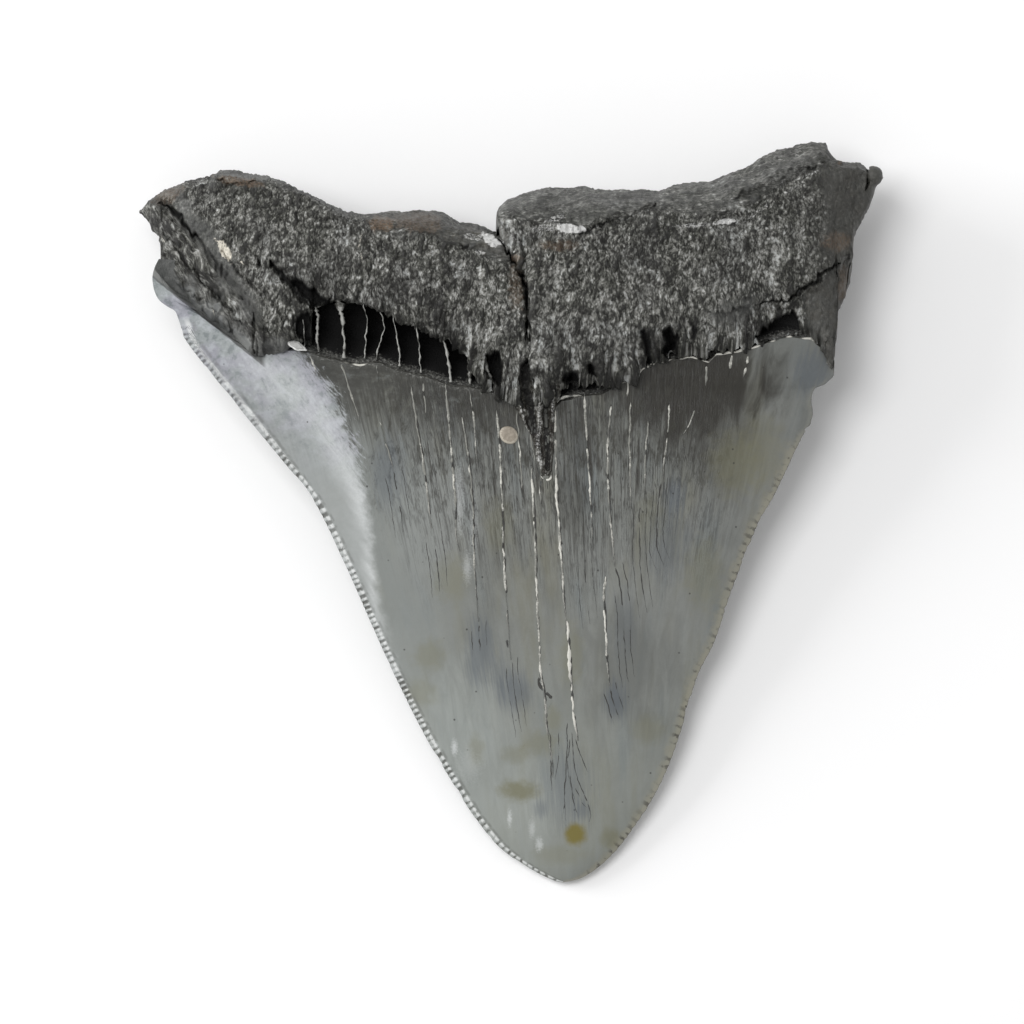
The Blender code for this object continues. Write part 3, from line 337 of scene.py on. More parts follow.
BLUE_SPOTS = [
    (-4.0, -17.4, 1.6, 3.4, 0.5), (0.4, -22.4, 1.8, 2.2, 0.55), (12.8, -23.6, 1.2, 2.2, 0.6),
    (-1.6, -20.4, 1.0, 2.4, 0.35), (37.6, 17.6, 2.4, 2.4, 0.5), (20.4, 2.0, 1.2, 2.0, 0.5),
    (-15.6, 5.0, 1.8, 4.0, 0.4), (7.0, -34.6, 2.6, 4.0, 0.4), (8.8, -37.4, 1.0, 1.0, 0.4),
    (3.6, -37.2, 0.8, 1.0, 0.4), (19.4, -4.0, 2.4, 4.0, 0.35), (14.0, -14.0, 1.4, 4.0, 0.3)]
# bright spots are painted glints
PAINTED_GLINTS = [
    (-7.2, -29.5, 0.3, 0.75, 0.55), (-0.3, -38.3, 0.22, 0.8, 0.5), (3.4, -41.6, 0.35, 0.7, 0.45),
    (2.5, -39.6, 0.3, 0.9, 0.3), (-5.4, -31.8, 1.2, 1.6, 0.12), (-6.6, 1.6, 0.5, 3.0, 0.3),
    (-5.6, -7.0, 0.4, 1.4, 0.3), (-4.8, -2.0, 0.4, 2.4, 0.2)]
YELLOW_SPOTS = [(7.9, -40.4, 1.25, 1.3, 0.9)]
# Stains below the root: X, Y, half width, half height, raggedness, softness, strength.
STAINS = [
    (25.6, 9.0, 5.0, 7.0, 0.8, 1.2, 0.5), (8.6, 9.0, 2.0, 4.6, 0.6, 0.9, 0.5),
    (7.6, 2.0, 2.2, 4.6, 0.6, 0.9, 0.4), (-1.0, 13.0, 4.6, 3.2, 0.6, 0.9, 0.5)]
# Chips out of the right edge: place, reach and depth.
EDGE_CHIPS = [((37.0, 10.4), 0.6, 0.35), ((33.4, 6.8), 0.5, 0.3), ((26.4, -12.0), 0.6, 0.25)]

# The lanes that streaks follow: the straight one's X, the Y of their places, and how far above
# that they would meet, left and right of it.
LANE_X, LANE_Y, LANE_REACH = 14.0, 16.0, (150.0, 90.0)
# The right-hand border of the worn flank, which is painted pale as a highlight, from the root down, and the
# highlight's bright core with its width at heights along Y.
WORN_HIGHLIGHT_LINE = [
    (-27.0, 24.0), (-26.4, 19.9), (-22.6, 15.8), (-21.8, 13.9), (-19.3, 7.7), (-18.0, 1.4), (-17.3, -4.2),
    (-16.3, -11.1), (-15.1, -16.1), (-13.2, -21.1), (-10.4, -27.0), (-6.0, -35.0)]
HIGHLIGHT_CORE = [
    (-32.2, 19.8), (-31.7, 19.0), (-29.3, 15.9), (-25.8, 13.6), (-22.8, 10.3), (-20.9, 6.2), (-19.3, 2.7),
    (-18.6, 0.0), (-17.9, -4.2), (-17.2, -9.8), (-16.2, -15.0)]
CORE_WIDTHS = [-16.0, 2.0, 12.0, 20.0], [0.7, 1.2, 2.2, 2.6]
SCRATCH_SLANT = 38.0                        # of the scratches on it, in degrees

# The tongue's two sides, its pale strands and the gaps between, which are sunk and painted dark with shade:
# points and half width.
TONGUE_TOP, TONGUE_END = 18.5, 4.3
TONGUE_LEFT = [
    (-1.2, 18.5), (-1.4, 15.0), (0.3, 13.0), (1.5, 11.0), (2.3, 9.0), (2.9, 6.8), (3.4, 4.8), (3.9, 4.1)]
TONGUE_RIGHT = [(6.6, 18.5), (6.3, 15.4), (5.9, 14.0), (5.6, 12.6), (5.4, 8.0), (5.2, 5.4), (4.9, 4.1)]
TONGUE_STRANDS = [
    ([(3.1, 16.4), (3.3, 13.6), (3.5, 11.2), (3.2, 8.9), (3.4, 6.8), (3.6, 5.6)], 0.42),
    ([(5.0, 15.6), (5.1, 13.6), (5.2, 11.4)], 0.36),
    ([(0.6, 14.6), (1.3, 12.2), (2.0, 9.8), (2.4, 8.2)], 0.2)]
TONGUE_GAPS = [
    ([(1.5, 18.2), (1.8, 15.4), (2.3, 12.6), (2.7, 10.2)], 0.66),
    ([(4.2, 16.0), (4.3, 13.0), (4.3, 9.0), (4.5, 5.4)], 0.3)]
# Small balls of root beyond the lobes: centre and radius.
ROOT_KNOBS = [(45.2, 42.0, 11.6, 1.3)]

# Soft boxes: name, place in metres, width and height in metres, power in watts.
STAGE_LIGHTS = [
    ("key", (-1.133, 0.412, 0.487), (0.6, 0.6), 10.3),
    ("high box", (-0.373, 0.313, 1.205), (0.6, 0.6), 8.2)]
WORLD_STRENGTH = 0.56
TABLE_HALF = 3.0                            # metres
CAMERA_LENS, CAMERA_SENSOR, CAMERA_HEIGHT = 1000.0, 36.0, 3.5656    # millimetres twice, metres


# ---------------------------------------------------------------- maths on many points at once
def smooth(low, high, value):
    """0 below low, 1 above high, and a soft step between them."""
    share = np.clip((value - low) / (high - low), 0.0, 1.0)
    return share * share * (3.0 - 2.0 * share)


def scatter(*cells):
    """A number from 0 to 1 for each whole-numbered cell, the same in every run."""
    mixed = np.full(np.broadcast(*cells).shape, 0x9E3779B9, dtype=np.uint32)
    for cell in cells:
        mixed = (mixed ^ np.asarray(cell).astype(np.int64).astype(np.uint32)) * np.uint32(0x85EBCA6B)
        mixed = (mixed ^ (mixed >> np.uint32(13))) * np.uint32(0xC2B2AE35)
        mixed = mixed ^ (mixed >> np.uint32(16))
    return mixed / 2.0 ** 32


def noise(seed, *coords):
    """Smooth noise from -1 to 1 whose lumps are one unit across."""
    whole = [np.floor(c) for c in coords]
    part = [(c - w) for c, w in zip(coords, whole)]
    part = [p * p * (3.0 - 2.0 * p) for p in part]
    total = 0.0
    for corner in itertools.product((0, 1), repeat=len(coords)):
        weight = 1.0
        for side, p in zip(corner, part):
            weight = weight * (p if side else 1.0 - p)
        cells = [w + side for w, side in zip(whole, corner)]
        total = total + weight * scatter(*cells, np.full_like(whole[0], seed))
    return total * 2.0 - 1.0


def wander(seed, at):
    """Noise along a line."""
    return noise(seed, at, at * 0)


def layers(seed, count, *coords):
    """Noise with finer and weaker noise on top of it."""
    return sum(noise(seed + k, *[c * 2.0 ** k for c in coords]) * 0.5 ** k for k in range(count)) / 1.5


def grains(seed, x, y):
    """Distance to the nearest of many points, scattered one to a unit cell, and that point's tone."""
    cell_x, cell_y = np.floor(x), np.floor(y)
    nearest = np.full(np.shape(x), 9.0)
    tone = np.zeros(np.shape(x))
    for dx, dy in itertools.product((-1, 0, 1), repeat=2):
        cx, cy = cell_x + dx, cell_y + dy
        seeds = np.full_like(cx, seed)
        px, py = cx + scatter(cx, cy, seeds), cy + scatter(cy, cx, seeds + 7)
        gap = np.hypot(px - x, py - y)
        tone = np.where(gap < nearest, scatter(cx, cy, seeds + 13), tone)
        nearest = np.minimum(nearest, gap)
    return nearest, tone


def curve(points, per_span=12):
    """A smooth line (Catmull-Rom) through points of any dimension."""
    points = np.array(points, dtype=float)
    padded = np.vstack([points[:1], points, points[-1:]])
    t = (np.arange(per_span) / per_span)[:, None]
    spans = []
    for a, b, c, d in zip(padded, padded[1:], padded[2:], padded[3:]):
        spans.append(0.5 * (2 * b + (c - a) * t + (2 * a - 5 * b + 4 * c - d) * t**2
                            + (3 * b - a - 3 * c + d) * t**3))
    return np.vstack(spans + [points[-1:]])


def lengths(line):
    """Distance along a line at each of its points."""
    return np.concatenate([[0.0], np.cumsum(np.hypot(*np.diff(line[:, :2], axis=0).T))])


def along(line, distance):
    """Points of a line at distances along it."""
    steps = lengths(line)
    return np.stack([np.interp(distance, steps, column) for column in line.T], axis=-1)


def turned(x, y, degrees):
    """Where points lie along two axes turned by degrees."""
    c, s = np.cos(np.radians(degrees)), np.sin(np.radians(degrees))
    return x * c + y * s, y * c - x * s


def y_at(x, outline):
    """Y at each x of an outline whose x rises."""
    return np.interp(x, *np.array(outline).T)


def x_at(y, outline):
    """X at each y of an outline whose y falls."""
    return np.interp(y, *np.array(outline[::-1]).T[::-1])


def to_line(x, y, points):
    """Distance from each point to a line, on which side of it (above 0 to its right), and how far
    along the line from 0 to 1."""
    best = np.full(np.shape(x), 1e9)
    side, at = np.zeros(np.shape(x)), np.zeros(np.shape(x))
    for k, ((ax, ay), (bx, by)) in enumerate(zip(points, points[1:])):
        dx, dy = bx - ax, by - ay
        share = np.clip(((x - ax) * dx + (y - ay) * dy) / (dx * dx + dy * dy), 0.0, 1.0)
        gap = np.hypot(x - ax - share * dx, y - ay - share * dy)
        nearer = gap < best
        best = np.where(nearer, gap, best)
        side = np.where(nearer, np.sign((x - ax) * dy - (y - ay) * dx), side)
        at = np.where(nearer, (k + share) / (len(points) - 1), at)
    return best, side, at


def inside(x, y, outline):
    """How far inside an outline each point lies, below 0 outside it."""
    within = np.zeros(np.shape(x), dtype=bool)
    closed = list(outline) + [outline[0]]
    for (ax, ay), (bx, by) in zip(closed, closed[1:]):
        crosses = (ay > y) != (by > y)
        if ay != by:
            within ^= crosses & (x < (bx - ax) * (y - ay) / (by - ay) + ax)
    gap, _, _ = to_line(x, y, closed)
    return np.where(within, gap, -gap)


def spots(x, y, list_of_spots, ragged=0.35, seed=5):
    """Strength of scattered oval spots with ragged rims."""
    total = np.zeros(np.shape(x))
    rim = ragged * layers(seed, 3, x * 2.2, y * 2.2)
    for cx, cy, half_x, half_y, turn, strength in list_of_spots:
        u, v = turned(x - cx, y - cy, turn)
        reach = np.hypot(u / half_x, v / half_y)
        total = np.maximum(total, strength * smooth(1.25, 0.75, reach + rim))
    return total


def station_values(stations, x):
    """The stations' values at each x, on smooth curves through them."""
    table = np.array(stations)
    xs = table[:, 0]
    slopes = np.empty_like(table)
    slopes[1:-1] = (table[2:] - table[:-2]) / (xs[2:] - xs[:-2])[:, None]
    slopes[0], slopes[-1] = slopes[1], slopes[-2]
    i = np.clip(np.searchsorted(xs, x, side="right") - 1, 0, len(xs) - 2)
    span = (xs[i + 1] - xs[i])[:, None]
    t = ((x - xs[i])[:, None]) / span
    values = (table[i] * (2 * t**3 - 3 * t**2 + 1) + table[i + 1] * (3 * t**2 - 2 * t**3)
              + slopes[i] * span * (t**3 - 2 * t**2 + t) + slopes[i + 1] * span * (t**3 - t**2))
    return values[:, 1:].T


# ---------------------------------------------------------------- the blade's two faces
LEFT_LINE, RIGHT_LINE = curve(LEFT_EDGE), curve(RIGHT_EDGE)


def edge_height(y):
    return TIP_HEIGHT + BLADE_RISE * (y - TIP[1])


def across(x, y):
    """Half the blade's width at y, and where x lies across it, from -1 to 1."""
    left, right = x_at(y, LEFT_LINE), x_at(y, RIGHT_LINE)
    half = np.maximum((right - left) / 2, 0.01)
    return half, np.clip((x - (left + right) / 2) / half, -1.0, 1.0)


def outer_face(x, y):
    """Height of the enamel's outer face."""
    half, u = across(x, y)
    full = ENAMEL_BULGE * (0.35 + 0.65 * np.clip((y - TIP[1]) / 60.0, 0.0, 1.0))
    less = full - 0.22 * half
    full = 0.5 * (full + 0.22 * half - np.sqrt(less * less + 0.04))
    return edge_height(y) + np.maximum(full, 0.0) * (1.0 - np.abs(u) ** FACE_POWER)


def inner_face(x, y):
    """Height of the enamel's inner face."""
    half, u = across(x, y)
    arch = 0.8 * np.sin(np.pi * np.clip((y + 42.0) / 56.0, 0.0, 1.0))
    hang = np.minimum(edge_height(y) - arch, 0.55 * half)
    return edge_height(y) - hang * (1.0 - np.abs(u) ** FACE_POWER)


def waves(x, y):
    """Slow waves of the outer face."""
    return 0.05 * layers(12, 2, x / 9.0, y / 12.0) + 0.02 * noise(15, x / 2.6, y / 6.0)


def ground(x, y):
    """The enamel's outer face with its slow waves."""
    return outer_face(x, y) + waves(x, y)


def enamel_top(x):
    """Y of the enamel's broken upper edge at x."""
    return y_at(x, ENAMEL_TOP) + 0.12 * wander(61, x * 1.1)


# ---------------------------------------------------------------- meshes
def placed(name, data, location=(0.0, 0.0, 0.0)):
    """An object in the scene."""
    thing = bpy.data.objects.new(name, data)
    thing.location = location
    bpy.context.scene.collection.objects.link(thing)
    return thing


def new_piece(name, points, faces, material, **values):
    """A smooth mesh from points in millimetres, with a number at each point for its material."""
    mesh = bpy.data.meshes.new(name)
    mesh.from_pydata((np.asarray(points).reshape(-1, 3) * MM).tolist(), [], faces)
    mesh.shade_smooth()
    for label, numbers in values.items():
        layer = mesh.attributes.new(label, 'FLOAT', 'POINT')
        layer.data.foreach_set("value", np.asarray(numbers, dtype=np.float32).ravel())
    mesh.materials.append(material)
    piece = placed(name, mesh)
    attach(piece, "root")
    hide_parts("tooth")
    return piece


def grid_faces(rows, columns, closed=False):
    """Faces of a grid of points that run row by row; closed joins the last column to the first."""
    r, c = np.meshgrid(np.arange(rows - 1), np.arange(columns if closed else columns - 1), indexing="ij")
    following = (c + 1) % columns
    quads = np.stack([r * columns + c, r * columns + following,
                      (r + 1) * columns + following, (r + 1) * columns + c], axis=-1)
    return quads.reshape(-1, 4).tolist()


def ring_normals(points):
    """Outward directions of a grid of points whose last column joins the first."""
    down = np.gradient(points, axis=0)
    over = np.roll(points, -1, axis=1) - np.roll(points, 1, axis=1)
    normal = np.cross(over, down)
    return normal / np.maximum(np.linalg.norm(normal, axis=-1, keepdims=True), 1e-9)


def strip(line, half_widths, rise, sink):
    """A low ribbon on the enamel: five points across at each point of the line."""
    ahead = np.gradient(line, axis=0)
    ahead /= np.maximum(np.linalg.norm(ahead, axis=1, keepdims=True), 1e-9)
    sideways = np.stack([-ahead[:, 1], ahead[:, 0]], axis=-1)
    rows = []
    for share, lift in ((-1.0, -sink), (-0.6, 0.6 * rise), (0.0, rise), (0.6, 0.6 * rise), (1.0, -sink)):
        flat = line + sideways * (half_widths * share)[:, None]
        rows.append(np.column_stack([flat, ground(flat[:, 0], flat[:, 1]) + lift]))
    return np.stack(rows, axis=1)


# ---------------------------------------------------------------- materials
class Socket:
    """A value in a material's nodes. Arithmetic on it adds Math nodes."""

    def __init__(self, nodes, link):
        self.nodes = nodes
        self.link = link

    def _math(self, operation, *values):
        return self.nodes.add('ShaderNodeMath', {"operation": operation}, *values)

    def __add__(self, other):
        return self._math('ADD', self, other)

    def __sub__(self, other):
        return self._math('SUBTRACT', self, other)

    def __rsub__(self, other):
        return self._math('SUBTRACT', other, self)

    def __mul__(self, other):
        return self._math('MULTIPLY', self, other)

    def __truediv__(self, other):
        return self._math('DIVIDE', self, other)

    def __pow__(self, other):
        return self._math('POWER', self, other)

    def __neg__(self):
        return 0.0 - self

    def __abs__(self):
        return self._math('ABSOLUTE', self)

    __radd__ = __add__
    __rmul__ = __mul__

    def most(self, other):
        return self._math('MAXIMUM', self, other)

    def step(self, low, high):
        """0 below low, 1 above high, soft between."""
        return self.nodes.add('ShaderNodeMapRange', {"interpolation_type": 'SMOOTHSTEP'},
                              self, low, high, 0.0, 1.0)


class Nodes:
    """Builds one material's nodes. Its colour is laid on coat by coat."""

    def __init__(self, name, colour=None):
        self.material = bpy.data.materials.new(name)
        self.material.use_nodes = True
        self.tree = self.material.node_tree
        self.shader = self.tree.nodes["Principled BSDF"]
        self.colour = colour

    def put(self, socket, value):
        if isinstance(value, Socket):
            self.tree.links.new(value.link, socket)
        else:
            socket.default_value = value

    def add(self, kind, settings, *values, output=0, **named):
        """A node with its settings, then its inputs by order or by name."""
        node = self.tree.nodes.new(kind)
        for label, value in settings.items():
            if label == "stops":
                stops = node.color_ramp.elements
                while len(stops) < len(value):
                    stops.new(1.0)
                for stop, (place, colour) in zip(stops, value):
                    stop.position = place
                    stop.color = (*colour, 1.0)
            else:
                setattr(node, label, value)
        for socket, value in zip(node.inputs, values):
            self.put(socket, value)
        for label, value in named.items():
            self.put(node.inputs[label.replace("_", " ")], value)
        return Socket(self, node.outputs[output])

    def place(self):
        """Position in millimetres."""
        position = self.add('ShaderNodeNewGeometry', {}, output="Position")
        return self.scaled(position, 1.0 / MM)

    def scaled(self, vector, scale):
        return self.add('ShaderNodeVectorMath', {"operation": 'SCALE'}, vector, Scale=scale)

    def parts(self, vector):
        node = self.add('ShaderNodeSeparateXYZ', {}, vector)
        return [Socket(self, output) for output in node.link.node.outputs]

    def join(self, x, y, z):
        return self.add('ShaderNodeCombineXYZ', {}, x, y, z)

    def values(self, *labels):
        """Numbers stored at the mesh's points."""
        return [self.add('ShaderNodeAttribute', {"attribute_name": label}, output="Fac")
                for label in labels]

    def noise(self, place, scale, detail=2.0, roughness=0.5, distortion=0.0):
        return self.add('ShaderNodeTexNoise', {}, Vector=place, Scale=scale, Detail=detail,
                        Roughness=roughness, Distortion=distortion)

    def noise_at(self, x, y, z, *detail):
        """Noise at a place made of three numbers, to stretch or bend it."""
        return self.noise(self.join(x, y, z), 1.0, *detail)

    def cells(self, place, scale, output="Distance"):
        return self.add('ShaderNodeTexVoronoi', {}, Vector=place, Scale=scale, output=output)

    def mix(self, share, first, second, blend='MIX'):
        """A colour between two colours."""
        node = self.tree.nodes.new('ShaderNodeMix')
        node.data_type = 'RGBA'
        node.blend_type = blend
        self.put(node.inputs[0], share)
        for socket, value in ((node.inputs[6], first), (node.inputs[7], second)):
            self.put(socket, value if isinstance(value, Socket) else (*value, 1.0))
        return Socket(self, node.outputs[2])

    def lay(self, share, colour, blend='MIX'):
        """Lays a coat over the colour so far."""
        self.colour = self.mix(share, self.colour, colour, blend)

    def finish(self, roughness, height=None, depth=0.1):
        """Links colour and roughness, and a bump whose height of 1 stands depth millimetres."""
        self.put(self.shader.inputs["Base Color"], self.colour)
        self.put(self.shader.inputs["Roughness"], roughness)
        if height is not None:
            bump = self.add('ShaderNodeBump', {}, Strength=1.0, Distance=depth * MM, Height=height)
            self.put(self.shader.inputs["Normal"], bump)
        return self.material


def enamel_material(colours):
    """Polished grey enamel: clouds, streaks, stains, a left flank rubbed and painted pale with a highlight,
    painted glints, notched edges, and the hollow's floor painted black with shade.
    """
    m = Nodes("enamel", colours.enamel)
    place = m.place()
    x, y, _ = m.parts(place)
    outer, edge, notch, lane, right, floor = m.values("outer", "edge", "notch", "lane", "right", "floor")
    worn_in, core, feather, flank_a, flank_b = m.values("worn_in", "core", "feather", "flank_a", "flank_b")
    cloud = m.noise(m.scaled(place, 0.07), 1.0, 3.0, 0.55, 0.4)
    patch = m.noise_at(lane * 0.16, y * 0.045, outer * 9.0 + 4.0, 3.0, 0.6)
    marble = m.noise_at(lane * 0.5, y * 0.16, outer * 3.0 + 11.0, 4.0, 0.6, 0.6)
    mottle = m.noise(place, 0.9, 4.0, 0.6)
    speckle = m.noise(place, 4.5, 2.0, 0.5)
    brush = m.noise_at(lane * 2.6, y * 0.16, outer * 30.0, 3.0, 0.6)
    hair = m.noise(m.join(lane, y * 0.09, outer * 20.0), 1.7, 2.0, 0.55)
    drift, lumps, specks, strokes = cloud - 0.5, mottle - 0.5, speckle - 0.5, brush - 0.5

    def oval(spot, rim_noise, ragged, soft):
        """1 inside an oval with a ragged rim. A spot is X, Y, half width and half height."""
        cx, cy, half_x, half_y = spot
        u, v = (x - cx) / half_x, (y - cy) / half_y
        reach = (u * u + v * v) ** 0.5
        return (reach + (rim_noise - 0.5) * 2.0 * ragged).step(1.0 + soft / 2, 1.0 - soft / 2)

    m.lay(cloud.step(0.35, 0.68), colours.enamel_pale)
    m.lay(patch.step(0.50, 0.70) * 0.5, colours.enamel_blue)
    m.lay((1.0 - patch).step(0.50, 0.68) * 0.65, colours.enamel_olive)
    m.lay(marble.step(0.35, 0.7) * 0.35, (0.25, 0.26, 0.25))
    m.lay(lumps * 0.6 + specks * 0.3 + 0.35, (0.33, 0.34, 0.33), 'SOFT_LIGHT')
    # paler towards the point and the left edge: partly the enamel's own colour, partly painted reflection
    # of the lights on the slopes there
    m.lay((-y).step(2.0, 46.0) * 0.4, (0.27, 0.29, 0.26))
    pallid = oval((-6.0, -27.0, 6.5, 6.5), cloud, 1.0, 1.6)
    pallid = pallid.most(oval((0.0, -36.6, 5.6, 6.0), cloud, 1.0, 1.6)) * (0.6 + (marble - 0.5) * 1.6)
    m.lay(pallid * 0.55 * outer, (0.36, 0.38, 0.36))
    m.lay(oval((-10.4, -1.6, 5.0, 8.0), marble, 1.0, 1.6) * 0.55 * outer, (0.26, 0.27, 0.26))
    m.lay((-worn_in).step(14.0, 0.0) * 0.4, (0.25, 0.27, 0.26))
    # the neck under the root is stained dark between the lanes
    neck = (y + strokes * 20.0 + drift * 8.0).step(3.0, 17.0)
    neck = neck * (1.0 - (x + drift * 8.0).step(24.0, 31.0) * 0.85)
    neck = neck * (1.0 - abs(x - 8.6).step(5.0, 2.0) * 0.3) * outer
    m.lay(neck * 0.84, colours.neck)
    stain = oval((23.0, 16.0, 8.8, 7.0), marble, 0.8, 0.9)
    for *spot, ragged, soft, strength in STAINS:
        stain = stain.most(oval(spot, brush, ragged, soft) * strength)
    m.lay(stain * 0.93 * outer, colours.stain)
    clear = 1.0 - stain * 0.8
    # long dark hairs that run down with the lanes, each of its own length
    zone = (y + (patch - 0.5) * 30.0 + (hair - 0.5) * 10.0 - abs(x - 6.0) * 0.3).step(-18.0, 4.0)
    zone = zone * abs(x - 6.0).step(25.0, 15.0) * outer
    broken = m.noise_at(lane * 1.2, y * 0.5, 0.0).step(0.40, 0.56)
    thread = m.noise_at(lane * 3.1, y * 0.11, 5.0, 2.0, 0.55)
    fleck = m.noise_at(lane * 4.2, y * 0.55, 8.0, 3.0, 0.7)
    upper = (y + strokes * 14.0).step(-6.0, 9.0) * outer * abs(x - 4.0).step(27.0, 20.0)
    patches = m.noise_at(lane * 0.55, y * 0.2, 21.0).step(0.38, 0.62)
    m.lay(thread.step(0.5, 0.34) * zone * (0.35 + patches * 0.6), (0.036, 0.034, 0.029))
    m.lay(thread.step(0.56, 0.74) * zone * clear * (0.5 - patches * 0.3), (0.24, 0.25, 0.225))
    line = 1.0 - abs(hair - 0.5).step(0.01, 0.042)
    line = line.most(1.0 - abs(brush - 0.46).step(0.004, 0.022))
    m.lay(line * zone * broken * 0.8, colours.hair)
    smudge = m.noise_at(lane * 0.9, y * 0.1, 7.0, 3.0, 0.6).step(0.52, 0.72)
    m.lay(smudge * zone * 0.2, colours.hair)
    m.lay(fleck.step(0.58, 0.72) * upper * clear * 0.22, (0.22, 0.225, 0.205))
    # mottled ground over the whole neck, darkest under the left hollow
    blot = m.noise_at(x * 0.5, y * 0.8, 31.0, 5.0, 0.68)
    spill = m.noise_at(x * 0.9, y * 0.34, 61.0, 5.0, 0.7, 0.3)
    m.lay(upper * spill.step(0.5, 0.36) * 0.7, (0.03, 0.029, 0.022))
    m.lay(upper * spill.step(0.54, 0.7) * clear * 0.4, (0.15, 0.155, 0.13))
    m.lay(oval((14.8, -19.6, 4.6, 6.4), marble, 0.8, 1.6) * 0.5 * outer, (0.08, 0.083, 0.078))
    near_hollow = (-floor).step(7.0, 0.5) * x.step(0.0, -6.0) * x.step(-28.0, -24.0) * outer
    m.lay(near_hollow * blot.step(0.6, 0.42) * 0.8, (0.026, 0.026, 0.022))
    m.lay(near_hollow * blot.step(0.56, 0.68) * 0.5, (0.12, 0.13, 0.125))
    m.lay((1.0 - fleck).step(0.60, 0.72) * upper * 0.6, colours.hair)
    # the worn left flank is painted white as a highlight, feathered by scratches
    scratch = m.noise_at(flank_a * 2.6, flank_b * 0.55, 2.0, 5.0, 0.75) - 0.5
    worn = (worn_in + scratch * feather * 9.0 + lumps * 1.6).step(-0.6, 1.2)
    worn = worn * (y + 38.0).step(0.0, 22.0) * outer
    m.lay(worn * (0.62 + lumps * 0.5), colours.flank_painted_sheen)
    veil = m.noise(place, 0.7, 5.0, 0.7)
    lilac = m.noise_at(x * 0.3, y * 0.3, 41.0, 3.0)
    near_root = worn * (y + (x + 44.4) * 0.62 - 29.6).step(-14.0, -4.0)
    m.lay(near_root * 0.7, m.mix(lilac.step(0.4, 0.6), (0.27, 0.295, 0.3), (0.29, 0.29, 0.34)))
    m.lay(near_root * veil.step(0.52, 0.62) * 0.7, (0.13, 0.15, 0.155))
    m.lay(near_root * (1.0 - veil).step(0.5, 0.62) * 0.5, (0.42, 0.44, 0.47))
    # the bright core of the painted highlight
    core = core * (0.75 + scratch * feather * 2.0 + specks * 0.5)
    m.lay(worn * core * (0.85 - near_root * 0.35), colours.flank)
    # over the ledge the shoulder is bare slate, with a dark seam along it
    ledge = (y - 29.6) + (x + 44.4) * 0.795 + 0.55 + lumps * 0.5
    leftward = x.step(-30.6, -31.4) * outer
    shoulder = ledge.step(-0.1, 0.1) * leftward
    m.lay(shoulder, slate_colour(m, place, colours))
    m.lay((1.0 - abs(ledge + 0.1).step(0.06, 0.2)) * leftward * 0.7, colours.hair)
    # the bright spots are painted glints
    for table, rim_noise, ragged, soft, colour in (
            (OLIVE_SPOTS, mottle, 0.7, 1.2, colours.olive), (BLUE_SPOTS, brush, 1.2, 1.4, colours.smudge),
            (PAINTED_GLINTS, speckle, 1.0, 1.8, colours.flank),
            (YELLOW_SPOTS, mottle, 0.4, 0.9, colours.yellow)):
        for *spot, strength in table:
            m.lay(oval(spot, rim_noise, ragged, soft) * strength * outer, colour)
    # cutting edges: cream on the right, corrugated pale and dark on the left
    cream = (edge + lumps * 1.6).step(1.5, 0.4) * right * y.step(11.0, 7.0)
    m.lay(cream * 0.42, colours.edge_cream)
    gaps = m.noise(place, 0.34, 2.0).step(0.38, 0.62)
    # darker in the right edge's notches
    notch_dark = (notch + lumps * 2.4 + specks * 1.2).step(0.42, 0.95) * (edge + lumps * 1.4).step(1.3, 0.5)
    m.lay(notch_dark * right * (0.2 + gaps * 0.55), colours.notch)
    m.lay((1.0 - notch_dark) * right * edge.step(0.8, 0.4) * (1.0 - gaps * 0.6) * 0.2, (0.32, 0.3, 0.23))
    left = 1.0 - right
    inset = edge * (1.0 - y.step(2.0, 14.0) * 0.34)
    serrated = y.step(24.6, 23.2)
    band = (inset + lumps * 0.6).step(1.15, 0.75) * serrated
    ridge = notch + specks * 0.8 + lumps * 0.6
    m.lay(band * left * ridge.step(0.2, 0.75) * (0.42 + gaps * 0.3), colours.notch)
    m.lay(band * left * (1.0 - ridge).step(0.5, 1.0) * (0.6 - gaps * 0.3), colours.flank)
    beads = (1.0 - ridge).step(0.45, 0.85) * inset.step(0.35, 0.6) * inset.step(1.0, 0.78) * serrated
    m.lay(beads * left * 0.6, (0.7, 0.71, 0.7))
    closing = inset.step(0.9, 1.1) * inset.step(1.5, 1.2) * serrated
    m.lay(closing * left * mottle.step(0.4, 0.6) * 0.35, colours.notch)
    # the broken face above the enamel: painted shade, black where it sinks deep, with a purple cast and
    # paler at the rim
    crumb = m.noise(place, 1.9, 4.0, 0.75) - 0.5
    deep = m.mix((floor + crumb * 2.6).step(0.2, 0.9), colours.hollow_rim, colours.hollow)
    m.lay(floor.step(0.02, 0.3) * (1.0 - shoulder), deep)
    # the enamel's crumbled rim, widest under the left hollow
    left_rim = x.step(3.0, -1.0) * x.step(-27.0, -25.0)
    rim_noise = floor + crumb * 3.0
    crumbs = rim_noise.step(-0.45, 0.1) * rim_noise.step(1.1, 0.7) * (floor + 1.2).step(0.0, 0.5)
    crumbs = crumbs * (left_rim * 0.9).most(x.step(4.0, 7.0) * floor.step(0.0, 0.2) * 0.8)
    flake = m.noise_at(x * 2.8, y * 3.6, 51.0, 4.0, 0.75)
    pale_crumb = m.mix(flake.step(0.54, 0.66), (0.11, 0.11, 0.1), (0.36, 0.36, 0.34))
    m.lay(crumbs, m.mix(flake.step(0.36, 0.56), (0.02, 0.02, 0.018), pale_crumb))
    pinholes = m.cells(place, 0.42).step(0.075, 0.03)
    m.lay(pinholes * 0.8, colours.hair)

